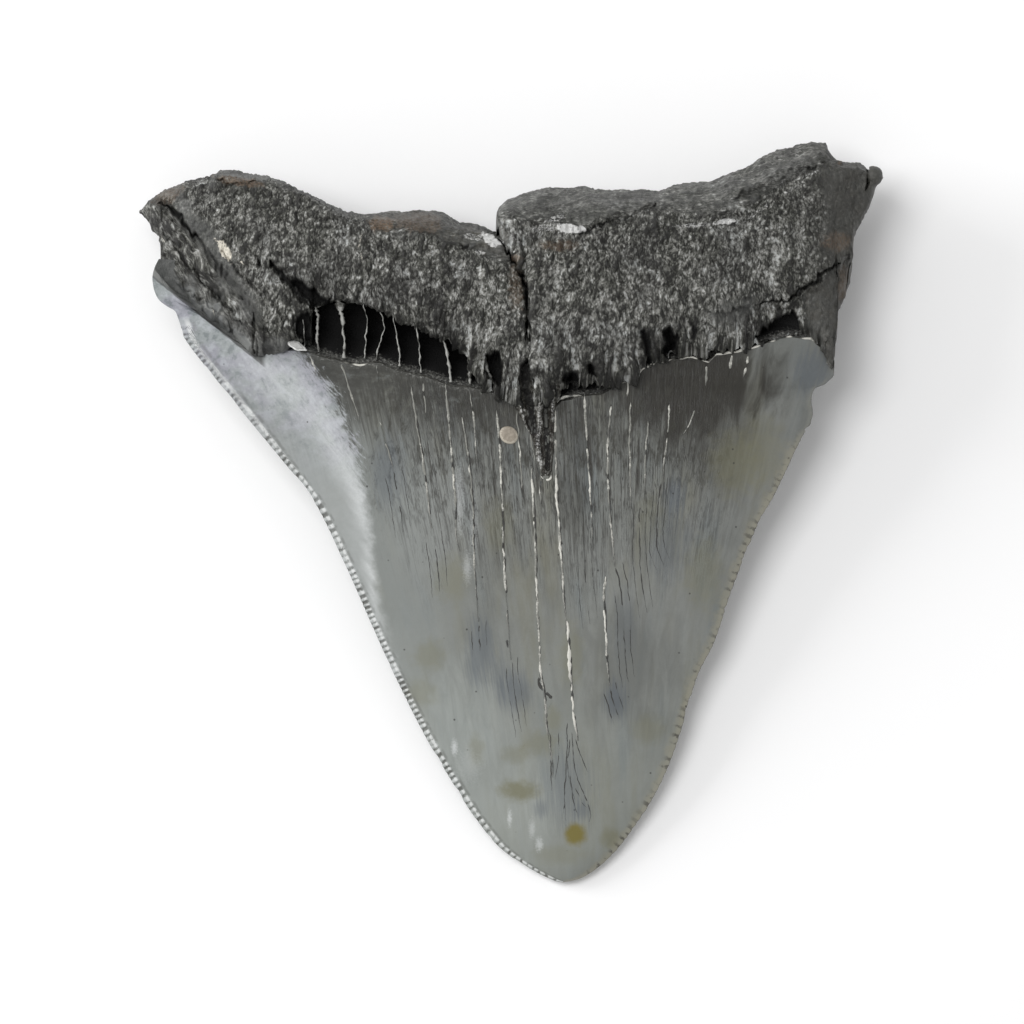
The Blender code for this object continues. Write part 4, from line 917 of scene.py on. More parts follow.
    roughness = 0.30 + lumps * 0.12 + neck * 0.15 + worn * 0.12 + floor.step(0.0, 0.4) * 0.5
    height = lumps * 0.5 + (brush + fleck - 1.0) * zone * 0.7 - line * zone * 0.5
    height = height + scratch * feather * 0.9 + floor.step(0.1, 0.6) * speckle * 4.0
    return m.finish(roughness, height, depth=0.05)


def slate_colour(m, place, colours):
    """Smooth slate, clouded darker and paler."""
    return m.mix(m.noise(place, 0.5, 4.0, 0.6).step(0.35, 0.7), colours.slate, colours.slate_pale)


def root_material(colours):
    """Weathered dentine: splintered grains, silvery partly from painted glints, over low ground darkened
    partly by painted shade; slate faces, rust, pale mineral; cracks and pits painted black with shade.
    """
    m = Nodes("weathered root")
    place = m.place()
    x, y, z = m.parts(place)
    relief, flat, pale, rust, hole, glint, a, b, lower, brown = m.values(
        "relief", "flat", "pale", "rust", "hole", "glint", "fibre_a", "fibre_b", "lower", "brown")
    cloud = m.noise(place, 0.16, 3.0, 0.6)
    grain = m.noise(place, 5.0, 3.0, 0.65)
    patchy = m.noise(place, 0.42, 3.0, 0.6)
    fleck = m.noise_at(x * 2.0, y * 4.2, z * 4.2, 4.0, 0.75)
    # stringy fibres: stretched noise, bent by slower noise, and cells with a tone of their own
    sway = (m.noise_at(a * 1.3, b * 0.9, 3.0) - 0.5) * (1.0 - lower * 0.6)
    strings = m.noise_at(a * 2.7 + sway * 2.6, b * 1.5 + sway * 1.4, 2.0, 4.0, 0.78, 0.5)
    threads = 1.0 - abs(m.noise_at(a * 3.6 + sway * 3.0, b * 1.1 - sway, 14.0, 2.0, 0.6) - 0.5) * 5.0
    splinter = m.join(a * 3.9 + sway * 2.2, b * 2.6 + sway, 0.0)
    near = m.cells(splinter, 1.0)
    tone = m.parts(m.cells(splinter, 1.0, "Color"))[0]
    contrast = 1.0 - flat * 0.6
    grit = (strings - 0.5) * 2.4 + (threads - 0.4) * 0.36 + (tone - 0.5) * 0.42 + (0.45 - near) * 0.4
    grit = grit + (grain - 0.5) * 0.5
    # the relief darkens the fibres' low ground and lightens their tops: painted shade and light over the
    # fibres' own tone
    shade = relief * 0.62 + grit * contrast + (patchy - 0.5) * 0.85 - flat * 0.08
    shade = shade - x.step(-4.0, -9.0) * 0.06 - 0.02
    m.colour = m.add('ShaderNodeValToRGB', {"stops": [
        (0.0, colours.root_pit), (0.2, colours.root_dark), (0.43, colours.root),
        (0.68, colours.root_pale), (1.0, colours.root_glint)]}, shade)
    green = (1.0 - shade.step(0.2, 0.7)) * cloud.step(0.35, 0.6)
    m.lay(green * 0.5, colours.root_green, 'SOFT_LIGHT')
    m.lay(cloud.step(0.5, 0.36) * shade.step(0.3, 0.8) * 0.4, (0.42, 0.46, 0.5), 'SOFT_LIGHT')
    # painted glints on the fibre tops, partly silvery mineral
    spark = (tone + (strings - 0.5) * 1.2 + (0.3 - near) * 0.5).step(0.9, 1.15)
    m.lay(spark * (0.2 + glint * 0.8) * contrast * 0.7, colours.root_glint)
    # smooth faces: slate or brown, flecked, and clean where they are smoothest
    brown_colour = m.mix(m.noise(place, 0.7, 4.0, 0.6).step(0.35, 0.7), colours.slate, colours.brown)
    face = m.mix(brown, slate_colour(m, place, colours), brown_colour)
    clean = flat.step(0.72, 0.9)
    pitted = 1.0 - clean
    face = m.mix((fleck - 0.40).step(0.1, 0.42) * 0.45 * (1.0 - clean * 0.8), face, (0.22, 0.22, 0.21))
    face = m.mix((0.56 - fleck).step(0.05, 0.3) * 0.85 * (1.0 - clean * 0.85), face, colours.root_pit)
    facet = m.mix(patchy.step(0.44, 0.52), (0.13, 0.135, 0.135), (0.19, 0.195, 0.188))
    face = m.mix(clean * (x + (fleck - 0.5) * 3.0).step(-27.0, -30.0) * 0.7, face, facet)
    m.lay(flat * 0.8 + clean * 0.2, face)
    m.lay(x.step(35.0, 41.0) * 0.6, colours.root_dark)
    m.lay(flat * pitted * x.step(-3.0, -1.0) * 0.35, colours.root_dark)
    pock = (m.cells(place, 0.8) + (fleck - 0.5) * 0.5).step(0.2, 0.05)
    m.lay(pock * flat * pitted * 0.7, colours.root_pit)
    m.lay(rust * grain.step(0.3, 0.6) * 0.6, colours.rust)
    flake = pale + (grain - 0.5) * 1.3 + (fleck - 0.5) * 1.6 + (strings - 0.5) * 0.5
    deposit = m.mix(x.step(-20.0, -10.0), colours.deposit, (0.56, 0.56, 0.55))
    m.lay(flake.step(0.45, 0.95) * pale.step(0.0, 0.15) * 0.95, deposit)
    # cracks, pits, rib notches and the tongue's gaps painted black: painted shade
    m.lay(hole * 0.96, colours.hollow)
    roughness = 0.6 + (grain - 0.5) * 0.3 - flat * 0.14 - spark * 0.15 + hole * 0.3
    fibre_height = (tone - 0.5) * 0.4 - near * 0.5 + strings * 2.0 + threads * 0.4
    height = grain * 0.5 + fleck * flat * 0.8 + fibre_height * contrast
    return m.finish(roughness, height, depth=0.11)


def mineral_material(name, low, high, tint):
    """Crusty mineral: pale grains between two colours, tinted where the wear value is high: darker where a
    vein thins out, and painted shade down the fins' sides.
    """
    m = Nodes(name, low)
    grain = m.noise(m.place(), 3.6, 4.0, 0.7)
    worn, light = m.values("worn", "light")
    m.lay((grain + (light - 0.5) * 0.7).step(0.34, 0.7), high)
    m.lay(worn, tint)
    return m.finish(0.55 + (grain - 0.5) * 0.3, grain, depth=0.06)


def floor_material():
    """A plain white table with the faintest tooth."""
    m = Nodes("white table", (0.86, 0.86, 0.865))
    place = m.place()
    m.lay(m.noise(place, 0.02, 2.0), (0.89, 0.89, 0.89))
    return m.finish(0.75 + m.noise(place, 0.5, 2.0) * 0.1)


# ---------------------------------------------------------------- the enamelled blade
def columns_at(half, middle):
    """Where the columns lie from -1 to 1 for half widths: packed near both edges."""
    count = len(EDGE_STEPS)
    total = 2 * count + middle
    k = np.arange(total)
    near = np.minimum(k, total - 1 - k)
    packed = np.minimum(np.interp(near, np.arange(count), EDGE_STEPS) / half, near / (count + middle / 2))
    last = np.minimum(EDGE_STEPS[-1] / half, (count - 1) / (count + middle / 2))
    even = last + (2.0 - 2.0 * last) * (k - count + 1) / (middle + 1)
    return np.where(k < count, packed, np.where(k >= total - count, 2.0 - packed, even)) - 1.0


def spread(share, middle, pick):
    """Points across the blade at shares of both edges' lengths: x, y, place across and half width."""
    left, right = (along(line, share * lengths(line)[-1]) for line in (LEFT_LINE, RIGHT_LINE))
    half = np.maximum(np.hypot(right[..., 0] - left[..., 0], right[..., 1] - left[..., 1]) / 2, 0.004)
    wide = np.ones((len(half), 2 * len(EDGE_STEPS) + middle))
    wide[:, pick] = half
    u = columns_at(wide, middle)[:, pick]
    way = ((u + 1) / 2)[..., None]
    return *np.moveaxis(left + (right - left) * way, -1, 0), u, half


def ring_shares(crossing):
    """How far down the edges each ring of points lies, with one ring at the crossing."""
    row = np.arange(CROWN_ROWS)[:, None]
    below = crossing + (1.0 - crossing) * (row - BREAK_ROW) / (CROWN_ROWS - 1 - BREAK_ROW)
    return np.where(row < BREAK_ROW, crossing * row / BREAK_ROW, below)


def notches(x, y, line, at, smooth_length, pitches, mean_pitch, seed):
    """Serrations: one notch to a pitch, finest beside the root, at right angles to the edge."""
    steps = lengths(line)
    traced = np.column_stack([line, np.gradient(line, axis=0) / np.gradient(steps)[:, None]])
    edge_x, edge_y, ahead_x, ahead_y = np.moveaxis(along(traced, at), -1, 0)
    at = at + (x - edge_x) * ahead_x + (y - edge_y) * ahead_y
    pitch = mean_pitch * np.interp(steps, *pitches)
    phase = np.interp(at, steps, np.concatenate([[0.0], np.cumsum(np.diff(steps) / pitch[1:])]))
    phase = phase + 0.3 * wander(seed + 9, at / 1.9)
    wave = 0.5 - 0.5 * np.cos(2 * np.pi * phase)
    uneven = 0.45 + 0.7 * scatter(np.floor(phase), np.full_like(phase, seed))
    uneven = uneven * (1.0 + 0.45 * wander(seed + 12, at / 4.0))
    fade = smooth(smooth_length - 1.0, smooth_length + 1.0, at)
    return wave ** 1.3 * uneven * (fade * smooth(steps[-1] - 0.3, steps[-1] - TIP_SMOOTH, at))


def crown(sizes, material):
    """The blade as rings of points from the root's shoulder to the tip. One ring follows the
    enamel's broken upper edge."""
    middle = sizes.crown_columns
    pick = np.arange(2 * len(EDGE_STEPS) + middle)
    trial = np.repeat(np.linspace(0.0, 0.3, 300)[:, None], len(pick), axis=1)
    x, y, _, _ = spread(trial, middle, pick)
    crossing = np.maximum(trial[np.argmax(y <= enamel_top(x), axis=0), 0], 0.004)
    eased = np.convolve(np.pad(crossing, 4, mode="edge"), np.full(9, 1 / 9), mode="valid")
    crossing = np.where(pick < EASED_COLUMNS, eased, crossing)
    inner_pick = np.arange(1, 2 * len(EDGE_STEPS) + INNER_COLUMNS - 1, 2)[::-1]
    outer_share = ring_shares(crossing)
    inner_share = ring_shares(np.linspace(crossing[-1], crossing[0], len(inner_pick)))
    faces = [spread(outer_share, middle, pick), spread(inner_share, INNER_COLUMNS, inner_pick)]
    x, y, u, half = (np.hstack(pair) for pair in zip(*faces))
    share = np.hstack([outer_share, inner_share])
    left_at, right_at = share * lengths(LEFT_LINE)[-1], share * lengths(RIGHT_LINE)[-1]
    outer = np.broadcast_to(np.arange(x.shape[1]) < len(pick), x.shape)

    on_left = u < 0
    notch = np.where(
        on_left,
        notches(x, y, LEFT_LINE, left_at, LEFT_SMOOTH, LEFT_PITCH, sizes.serration_pitch, 3),
        notches(x, y, RIGHT_LINE, right_at, RIGHT_SMOOTH, RIGHT_PITCH, sizes.serration_pitch, 4))
    from_edge = np.minimum(1.0 + u, 1.0 - u) * half
    pull = sizes.serration_depth * notch * smooth(0.5, 0.0, from_edge) * np.minimum(1.0, half / 3.0)
    # small chips out of both edges
    chips = smooth(0.45, 0.8, wander(71, np.where(on_left, left_at, 90 + right_at) / 2.3))
    pull = pull + chips * 0.14 * smooth(0.8, 0.0, from_edge)
    for (chip_x, chip_y), reach, depth in EDGE_CHIPS:
        bite = smooth(reach, 0.0, np.hypot(x - chip_x, y - chip_y))
        pull = pull + depth * bite * smooth(2.6, 0.0, from_edge)
    x = x + np.where(on_left, pull, -pull)
    above = y - enamel_top(x)
    face, back = outer_face(x, y), inner_face(x, y)
    ripple = 0.12 * notch * smooth(1.15, 0.45, from_edge) * np.where(on_left, 1.0, 0.5)
    z = np.where(outer, face - ripple + waves(x, y) * smooth(0.2, 3.0, from_edge), back + ripple)
    # the outer face breaks off above the enamel and falls into the hollow
    drop = 0.85 * smooth(0.0, 0.22, above) + 4.6 * smooth(0.15, 4.2, above) ** 0.8
    drop = drop + smooth(0.1, 0.8, above) * 0.25 * layers(31, 3, x / 0.5, y / 0.8)
    drop = np.minimum(drop, 0.5 * np.maximum(face - back, 0.0))
    z = np.maximum(z - np.where(outer, drop, 0.0), 0.0)
    # the lanes that the streaks follow fan out upwards from the point
    reach = np.where(x < LANE_X, *LANE_REACH)
    lane = LANE_X + (x - LANE_X) * reach / (reach + y - LANE_Y)

    # the worn flank with its painted highlight lies left of a line that runs down the blade
    from_core, _, _ = to_line(x + 0.9 * layers(17, 3, x / 2.6, y / 3.4),
                              y + 0.7 * layers(19, 3, x / 2.6, y / 3.4), HIGHLIGHT_CORE)
    core = np.exp(-(from_core / np.interp(y, *CORE_WIDTHS)) ** 2) * smooth(-19.0, -6.0, y)
    flank_a, flank_b = turned(x, y, SCRATCH_SLANT)
    faces = grid_faces(*u.shape, closed=True)
    faces.append(list(range(u.shape[1]))[::-1])
    return new_piece(
        "tooth_crown", np.stack([x, y, z], axis=-1), faces, material, outer=outer, edge=from_edge,
        notch=notch, right=~on_left, lane=lane, floor=np.where(outer, above, -1.0),
        worn_in=x_at(y, WORN_HIGHLIGHT_LINE) - x, core=core, feather=0.08 + 0.92 * smooth(0.0, 9.0, y),
        flank_a=flank_a, flank_b=flank_b)


# ---------------------------------------------------------------- the root
def bulge_lift(x):
    """Height of the root's inner face at x: it rises towards the lobes."""
    return LOBE_LIFT * np.clip((np.abs(x) - 20.0) / 26.0, 0.0, None) ** 1.3 - WEAR


def root_grid(top_line, lip_line, stations, count):
    """Points of one half of the root: a ring of points for each of count places along X, and how
    far each point belongs to the outer face."""
    x = np.linspace(stations[0][0], stations[-1][0], count)
    ridge, brow_back, ridge_z, brow_z, hang = station_values(stations, x)
    top, lip = y_at(x, top_line), y_at(x, lip_line)
    over = np.interp(x, *LIP_OVER_ENAMEL)
    lip = np.where((x > 6.6) & (x < 39.4), np.maximum(lip, enamel_top(x) + over), lip)
    brow = np.minimum(lip + brow_back, top - 0.35)
    ridge = np.clip(ridge, brow + 0.1, top - 0.2)
    lip_z = brow_z - hang
    lift = bulge_lift(x)
    to_end = np.clip((np.abs(x) - 34.0) / 8.0, 0.0, 1.0)
    band = np.minimum(9.5 + 0.34 * np.abs(x - 3.0), lip)
    band = band + (lip - band) * to_end
    edge_z = (ridge_z + lift) / 2
    heel = np.minimum(1.6, 0.35 * (lip_z - lift))
    under = 1.8 * (1.0 - to_end)
    corners = [(lip, lip_z), (brow, brow_z),
               (brow + 0.35 * (ridge - brow), brow_z + 0.6 * (ridge_z - brow_z) + 0.2),
               (brow + 0.7 * (ridge - brow), brow_z + 0.9 * (ridge_z - brow_z) + 0.3),
               (ridge, ridge_z), (ridge + 0.5 * (top - ridge), ridge_z - 0.18 * (ridge_z - edge_z)),
               (top, edge_z), (top - 0.08 * (top - band), lift + 0.45 * (edge_z - lift)),
               (top - 0.22 * (top - band), lift + 0.4 * heel), (top - 0.42 * (top - band), lift),
               (band + 0.28 * (top - band), lift), (band + 0.08 * (top - band), lift + 0.4 * heel),
               (band, lift + heel), (np.minimum(band + 2.5, lip), 0.5 * (lift + lip_z)),
               (np.minimum(lip + under, top - 0.3), lip_z - 0.45 * (lip_z - lift))]
    ring = np.array(corners)                                     # corner, (y, z), place
    columns = []
    for k, pieces in enumerate(RING_PIECES):
        a, b, c, d = (ring[(k + i) % len(ring)] for i in (-1, 0, 1, 2))
        round_share = 0.0 if k in SHARP_PIECES else 0.6
        for step in range(pieces):
            t = step / pieces
            bend = 0.5 * ((2 * a - 5 * b + 4 * c - d) * t**2 + (3 * b - a - 3 * c + d) * t**3
                          + (c - a) * t + 2 * b)
            columns.append(bend * round_share + (b + (c - b) * t) * (1.0 - round_share))
    yz = np.stack(columns, axis=-1)                              # (y, z), place, ring
    points = np.stack([np.broadcast_to(x[:, None], yz[0].shape), *yz], axis=-1)
    outwards = [np.linspace(first, last, pieces, endpoint=False)
                for first, last, pieces in zip(OUTWARD, OUTWARD[1:], RING_PIECES)]
    return points, np.broadcast_to(np.concatenate(outwards), points.shape[:2])


def fibres(seed, x, y, z, lean, size=1.0):
    """Height from 0 to 1 of weathered fibres that lean by degrees from Y, and each fibre's tone."""
    a, b = turned(x, y, -lean)
    a, b = a / size, b / size ** 1.8
    bend = 0.5 * noise(seed, a / 1.5, b / 2.0) + 0.22 * noise(seed + 5, a / 0.5, b / 0.7)
    sheared = b - SHEAR * z
    strings = np.abs(noise(seed + 6, (a + bend) / 0.6, (sheared + bend) / 1.7, z / 4.0))
    threads = np.abs(noise(seed + 7, (a + bend) / 0.32, (sheared - bend) / 0.8, z / 2.0))
    cells, tone = grains(seed + 1, (a + bend) / 0.42, (sheared + bend) / 0.62)
    broad = layers(seed + 3, 3, a / 1.4, b / 2.2, z / 2.0)
    height = 0.95 - 0.75 * strings - 0.55 * threads - 0.28 * cells + 0.2 * (tone - 0.5) + 0.36 * broad
    return np.clip(height, -0.15, 1.05), tone


def carved(x, y, z, lip_gap, outward):
    """How deep the root's outer face is carved, and how much shade is painted inside the carving."""
    carve, hole = np.zeros_like(x), np.zeros_like(x)
    jag_x = 0.3 * noise(61, x / 0.8, y / 1.2) + 0.2 * noise(58, x / 0.35, y / 0.9)
    jag_y = 0.3 * noise(62, x / 0.8, y / 1.2) + 0.3 * noise(59, x / 0.35, y / 0.9)
    for path, half_width, deep in ROOT_CRACKS:
        gap, _, at = to_line(x + jag_x, y + jag_y, path)
        width = half_width * (0.25 + 0.75 * np.sin(np.pi * np.clip(at, 0.0, 1.0)) ** 0.7)
        width = width * (1.0 + 0.5 * noise(65, x / 1.2, y / 1.2))
        carve = np.maximum(carve, deep * smooth(width * 1.7, width * 0.2, gap))
        hole = np.maximum(hole, smooth(width * 1.15, width * 0.2, gap) * min(1.0, deep / 2.4))
    for outline, deep in ROOT_PITS:
        within = inside(x + jag_x, y + jag_y, outline)
        carve = np.maximum(carve, deep * smooth(-0.15, 0.5, within))
        hole = np.maximum(hole, smooth(-0.1, 0.35, within))
    for path, lower_side, drop, reach in ROOT_STEPS:
        gap, side, _ = to_line(x + jag_x * 1.5, y + jag_y * 1.5, path)
        below = gap * side * lower_side
        sunk = drop * smooth(0.0, 0.9, below) * smooth(reach, reach * 0.5, below)
        carve = carve + sunk * smooth(0.0, 3.0, y - 19.0)
    # the brow frays into ribs and notches over the hollow and the enamel; the notches are painted dark with
    # shade
    beside_tongue = smooth(3.6, 2.2, np.abs(x - 1.0)) * smooth(20.0, 23.0, y)
    middle = smooth(-42.0, -40.5, x) * smooth(40.6, 39.2, x) * (1.0 - beside_tongue)
    ribs = smooth(0.1, 0.75, noise(63, x / 0.55 + jag_y, y / 3.4)) * smooth(3.2, 0.2, lip_gap) * middle
    carve = carve + ribs * 0.9 * outward
    hole = np.maximum(hole, ribs * 0.55 * smooth(2.6, 0.5, lip_gap))
    return np.minimum(carve, 0.55 * np.maximum(z - bulge_lift(x), 0.3)), hole


def root_half(name, top_line, lip_line, stations, material, sizes):
    """One half of the root: its form, the fibres and smooth faces on it, and what is carved out."""
    points, outward = root_grid(top_line, lip_line, stations, sizes.root_columns)
    x, y, z = np.moveaxis(points, -1, 0)
    calm = np.clip((np.minimum(x - x[0, 0], x[-1, 0] - x) + 0.3) / 4.0, 0.0, 1.0)
    lip_gap = y - y_at(x, lip_line)

    flat, brown = np.zeros_like(x), np.zeros_like(x)
    for outline, slate, strength in SMOOTH_FACES:
        mask = smooth(-0.6, 0.9, inside(x, y, outline) + 0.9 * layers(41, 4, x / 1.5, y / 1.5))
        flat = np.maximum(flat, mask * strength)
        brown = np.where(mask > 0.5, 1.0 - slate, brown)
    flat = flat * outward

    # fibres stand upright, lean beyond the left step and lie along the ridge
    gap, side, _ = to_line(x, y, ROOT_STEPS[0][0])
    lower = smooth(-0.4, 0.8, gap * side) * (x < -28.0)
    level = np.zeros_like(x)
    for outline, _, _ in SMOOTH_FACES[LEVEL_FACES]:
        level = np.maximum(level, smooth(-0.5, 0.4, inside(x, y, outline)
                                         + 0.5 * layers(47, 3, x / 1.2, y / 1.2)))
    relief, tone = fibres(20, x, y, z, 0.0)
    leaning, leaning_tone = fibres(24, x, y, z, LEFT_LEAN, 1.5)
    lying, lying_tone = fibres(26, x, y - SHEAR * z, z * 0.0, RIDGE_LEAN)
    relief, tone = relief + (leaning - relief) * lower, np.where(lower > 0.5, leaning_tone, tone)
    relief, tone = relief + (lying - relief) * level, np.where(level > 0.5, lying_tone, tone)
    pocks, _ = grains(30, x / 0.9 + 0.2 * noise(33, x / 0.6, y / 0.6), (y - SHEAR * z) / 0.9)
    soft = 0.52 + 0.3 * layers(28, 4, x / 1.8, y / 1.8, z / 1.8) - 0.5 * smooth(0.32, 0.12, pocks)
    soft = soft + (0.55 - soft) * smooth(0.75, 0.92, flat) * 0.85
    relief = relief + (soft - relief) * np.maximum(np.minimum(flat * 1.05, 1.0), (1.0 - outward) * 0.75)
    sway = 0.35 * noise(68, x / 2.0, y / 2.0)
    drips = noise(67, (x + sway) / 0.5, y / 5.0) + 0.6 * noise(69, (x + sway) / 0.26, y / 2.6)
    drips = drips * smooth(8.0, 1.0, lip_gap) * smooth(-14.0, -9.0, x) * smooth(37.0, 32.0, x)
    relief = relief + drips * outward * (1.0 - flat)

    bulk = 0.55 * layers(52, 2, x / 5.0, y / 5.0, z / 5.0) + 0.2 * layers(56, 2, x / 1.7, y / 2.2, z / 2.0)
    depth = sizes.root_relief * (1.0 - 0.45 * flat) * (0.45 + 0.55 * outward)
    away = np.minimum(1.0, np.maximum(0.15, z / 4.0))
    shift = bulk * calm * away + (relief - 0.55) * depth * np.minimum(1.0, 0.3 + calm)
    moved = points + ring_normals(points) * shift[..., None]

    # what is carved is carved straight down into the outer face
    carve, hole = carved(x, y, z, lip_gap, outward)
    moved[..., 2] = np.maximum(moved[..., 2] - carve * outward, 0.0)
    for *centre, radius in ROOT_KNOBS:
        radius = radius * (1.0 + 0.16 * layers(97, 3, x / 0.9, y / 0.9))
        offset = moved - np.array(centre)
        reach = np.linalg.norm(offset, axis=-1)
        out = np.maximum(radius - reach, 0.0) * smooth(radius * 1.2, radius * 0.5, reach)
        moved = moved + offset / np.maximum(reach, 0.05)[..., None] * out[..., None] * 0.9

    # rounded ends
    starts, ends = [], []
    for scale, push in CAP_RINGS:
        for source, bag, way in ((moved[0], starts, -1.0), (moved[-1], ends, 1.0)):
            centre = source.mean(axis=0)
            cap = centre + (source - centre) * scale
            cap[:, 0] += way * push * sizes.cap_roundness
            bag.append(cap)
    moved = np.concatenate([np.array(starts[::-1]), moved, np.array(ends)])
    caps = len(CAP_RINGS)

    def padded(values, axis=None):
        if axis is not None:
            return np.concatenate([moved[:caps, :, axis], values, moved[-caps:, :, axis]])
        return np.concatenate([values[:1]] * caps + [values] + [values[-1:]] * caps)

    # where painted glints show: on high fibre tops, fewer on smooth faces, more near the lip
    glint = (0.3 + 0.7 * smooth(0.35, 0.9, tone)) * (1.0 - 0.6 * flat) * smooth(0.1, 0.6, relief)
    glint = glint * (0.5 + 0.5 * smooth(-0.5, 0.4, noise(64, x / 6.0, y / 5.0)))
    glint = glint * (0.7 + 0.3 * smooth(9.0, 1.0, lip_gap))
    leaning_a, leaning_b = turned(x, y, -LEFT_LEAN)
    fibre_a = x + (leaning_a * 0.7 - x) * lower + 0.25 * noise(66, x / 1.5, y / 2.0)
    fibre_b = y + (leaning_b * 0.45 - y) * lower - SHEAR * z
    fibre_a, fibre_b = np.where(level > 0.5, y - 0.9 * z, fibre_a), np.where(level > 0.5, x * 0.8, fibre_b)
    relief = padded(relief)
    for rows in (slice(0, caps), slice(-caps, None)):
        relief[rows] = 0.5 + 0.5 * layers(98, 3, moved[rows, :, 1] / 0.9, moved[rows, :, 2] / 0.9)
    return new_piece(
        name, moved, grid_faces(*moved.shape[:2], closed=True), material,
        relief=relief, flat=padded(np.maximum(flat, (1.0 - outward) * 0.5)), brown=padded(brown),
        pale=padded(spots(x, y, PALE_SPOTS) * outward),
        rust=padded(spots(x, y, RUST_SPOTS, 0.5, 9) * outward),
        hole=padded(hole * outward), glint=padded(glint * outward),
        fibre_a=padded(fibre_a, 2), fibre_b=padded(fibre_b, 1), lower=padded(lower))


# ---------------------------------------------------------------- what grew on the tooth
def mineral_piece(name, parts, material):
    """One piece from several parts: each a grid of points, faces, and light and wear at its points."""
    points, faces, numbers = [], [], []
    count = 0
    for grid, part_faces, light, worn in parts:
        points.append(grid.reshape(-1, 3))
        numbers.append(np.column_stack([light.ravel(), worn.ravel()]))
        faces += [[i + count for i in face] for face in part_faces]
        count += len(points[-1])
    light, worn = np.vstack(numbers).T
    return new_piece(name, np.vstack(points), faces, material, light=light, worn=worn)


def ribbon(line, widths, rise, sink, light, worn):
    """A low ribbon on the enamel, with light and wear for each point of its line."""
    grid = strip(line, widths, rise, sink)
    numbers = [np.repeat(np.clip(values, 0, 1)[:, None], grid.shape[1], axis=1) for values in (light, worn)]
    return grid, grid_faces(*grid.shape[:2]), *numbers


def vein_part(path, half_width, light, worn_end, rise, seed, gaps=0.25):
    """One vein: a beaded ribbon that thins out at its lower end."""
    line = curve(path, 4)
    line = along(line, np.arange(0.0, lengths(line)[-1], VEIN_STEP))
    at = np.linspace(0.0, 1.0, len(line))
    step = np.arange(len(line)) * VEIN_STEP
    seeds = np.full_like(step, seed)

    def uneven(number, length):
        return noise(seed + number, step / length, seeds)

    line[:, 0] += 0.07 * uneven(0, 1.3) + 0.035 * uneven(1, 0.4)
    beads = 1.1 + 0.45 * uneven(2, 0.5) + 0.3 * uneven(3, 2.6)
    widths = 1.15 * half_width * np.clip(beads, 0.4, 1.8) * (1.0 - 0.75 * smooth(0.72, 1.0, at))
    widths = widths * smooth(-0.02, 0.05, at) * smooth(-0.62, -0.45, uneven(5, 1.3) - gaps * (at - 0.6))
    return ribbon(line, widths, rise, 0.06, 1.35 * light + 0.35 * uneven(4, 1.1),
                  worn_end * smooth(0.6, 1.0, at) + 0.9 * smooth(0.8, 0.5, beads))


def fin_part(path, half_widths, seed):
    """A thin upright plate of mineral across the hollow, with a frayed top."""
    line = curve(np.column_stack([np.array(path), half_widths]), 10)
    step = lengths(line)
    line[:, 0] += 0.1 * wander(seed, step / 0.7) + 0.05 * wander(seed + 6, step / 0.25)
    half = line[:, 2] * (1.0 + 0.4 * wander(seed + 1, step / 0.9) + 0.5 * wander(seed + 4, step / 0.25))
    share = step / step[-1]
    rim = ground(line[:, 0], line[:, 1])
    top = (16.0 - 0.4 * np.sin(np.pi * share)) * (1 - share) + (rim + 0.1) * share
    top = top + 0.12 * wander(seed + 2, step / 0.5)
    grid = np.stack([np.column_stack([line[:, 0] + side * half, line[:, 1], np.maximum(top - drop, 6.0)])
                     for side, drop, _, _ in FIN_PROFILE], axis=1)
    _, _, light, worn = np.array(FIN_PROFILE).T
    light = np.tile(light, (len(line), 1)) * (1.0 - 0.55 * smooth(0.25, 0.6, line[:, 2])[:, None])
    light = light + 0.5 * wander(seed + 8, step / 0.7)[:, None] * (light > 0.4)
    sides = len(FIN_PROFILE)
    faces = grid_faces(*grid.shape[:2])
    faces += [list(range(sides))[::-1], [(len(line) - 1) * sides + k for k in range(sides)]]
    return grid, faces, light, np.tile(worn, (len(line), 1))


def sediment_and_shadow_lines():
    """Points, half width and gaps of the dark lines: sediment in the cracks, fainter ones beside the fine
    cracks, and a painted shadow along the right of each fine vein that runs down."""
    lines = [(path, width * (0.62 if path[-1][1] < -24.0 and width < FINE_WIDTH else 0.85), 0.3)
             for path, width in DARK_VEINS]
    lines += [([(x + side * (0.3 + 0.03 * k), y + side * 0.7) for x, y in path], width * 0.5, 0.5)
              for side in (-1, 1) for k, (path, width) in enumerate(DARK_VEINS)
              if width < FINE_WIDTH and path[0][1] > -23.0]
    # painted shadow of each fine vein, just to its right
    lines += [([(x + 0.06, y) for x, y in path], width * 1.2, 0.9)
              for path, width, _ in VEINS if width < FINE_WIDTH and path[-1][1] < 3.0]
    return lines


def rim_highlight_part():
    """The enamel's broken upper edge: a thin raised bead painted pale as a highlight, brightest on the
    right.
    """
    line = np.array([p for p in ENAMEL_TOP if p[0] > -24.5])
    line = along(line, np.arange(0.0, lengths(line)[-1], RIM_STEP))
    line[:, 1] = enamel_top(line[:, 0])
    step = np.arange(len(line)) * RIM_STEP
    x = line[:, 0]
    strength = 0.3 + 0.5 * smooth(13.0, 16.0, x) + 0.5 * np.exp(-((x + 19.0) / 1.3) ** 2)
    strength = strength * (1.0 - 0.75 * np.exp(-((x - 3.2) / 3.2) ** 4))
    strength = strength * (1.0 - 0.8 * smooth(36.5, 38.5, x))
    beads = 0.75 + 0.5 * wander(91, step / 0.7) + 0.3 * wander(92, step / 2.4)
    widths = np.clip(0.13 * beads * (0.5 + strength), 0.03, 0.24)
    return ribbon(line, widths, 0.14, 0.3, strength, smooth(0.62, 0.25, strength * beads))


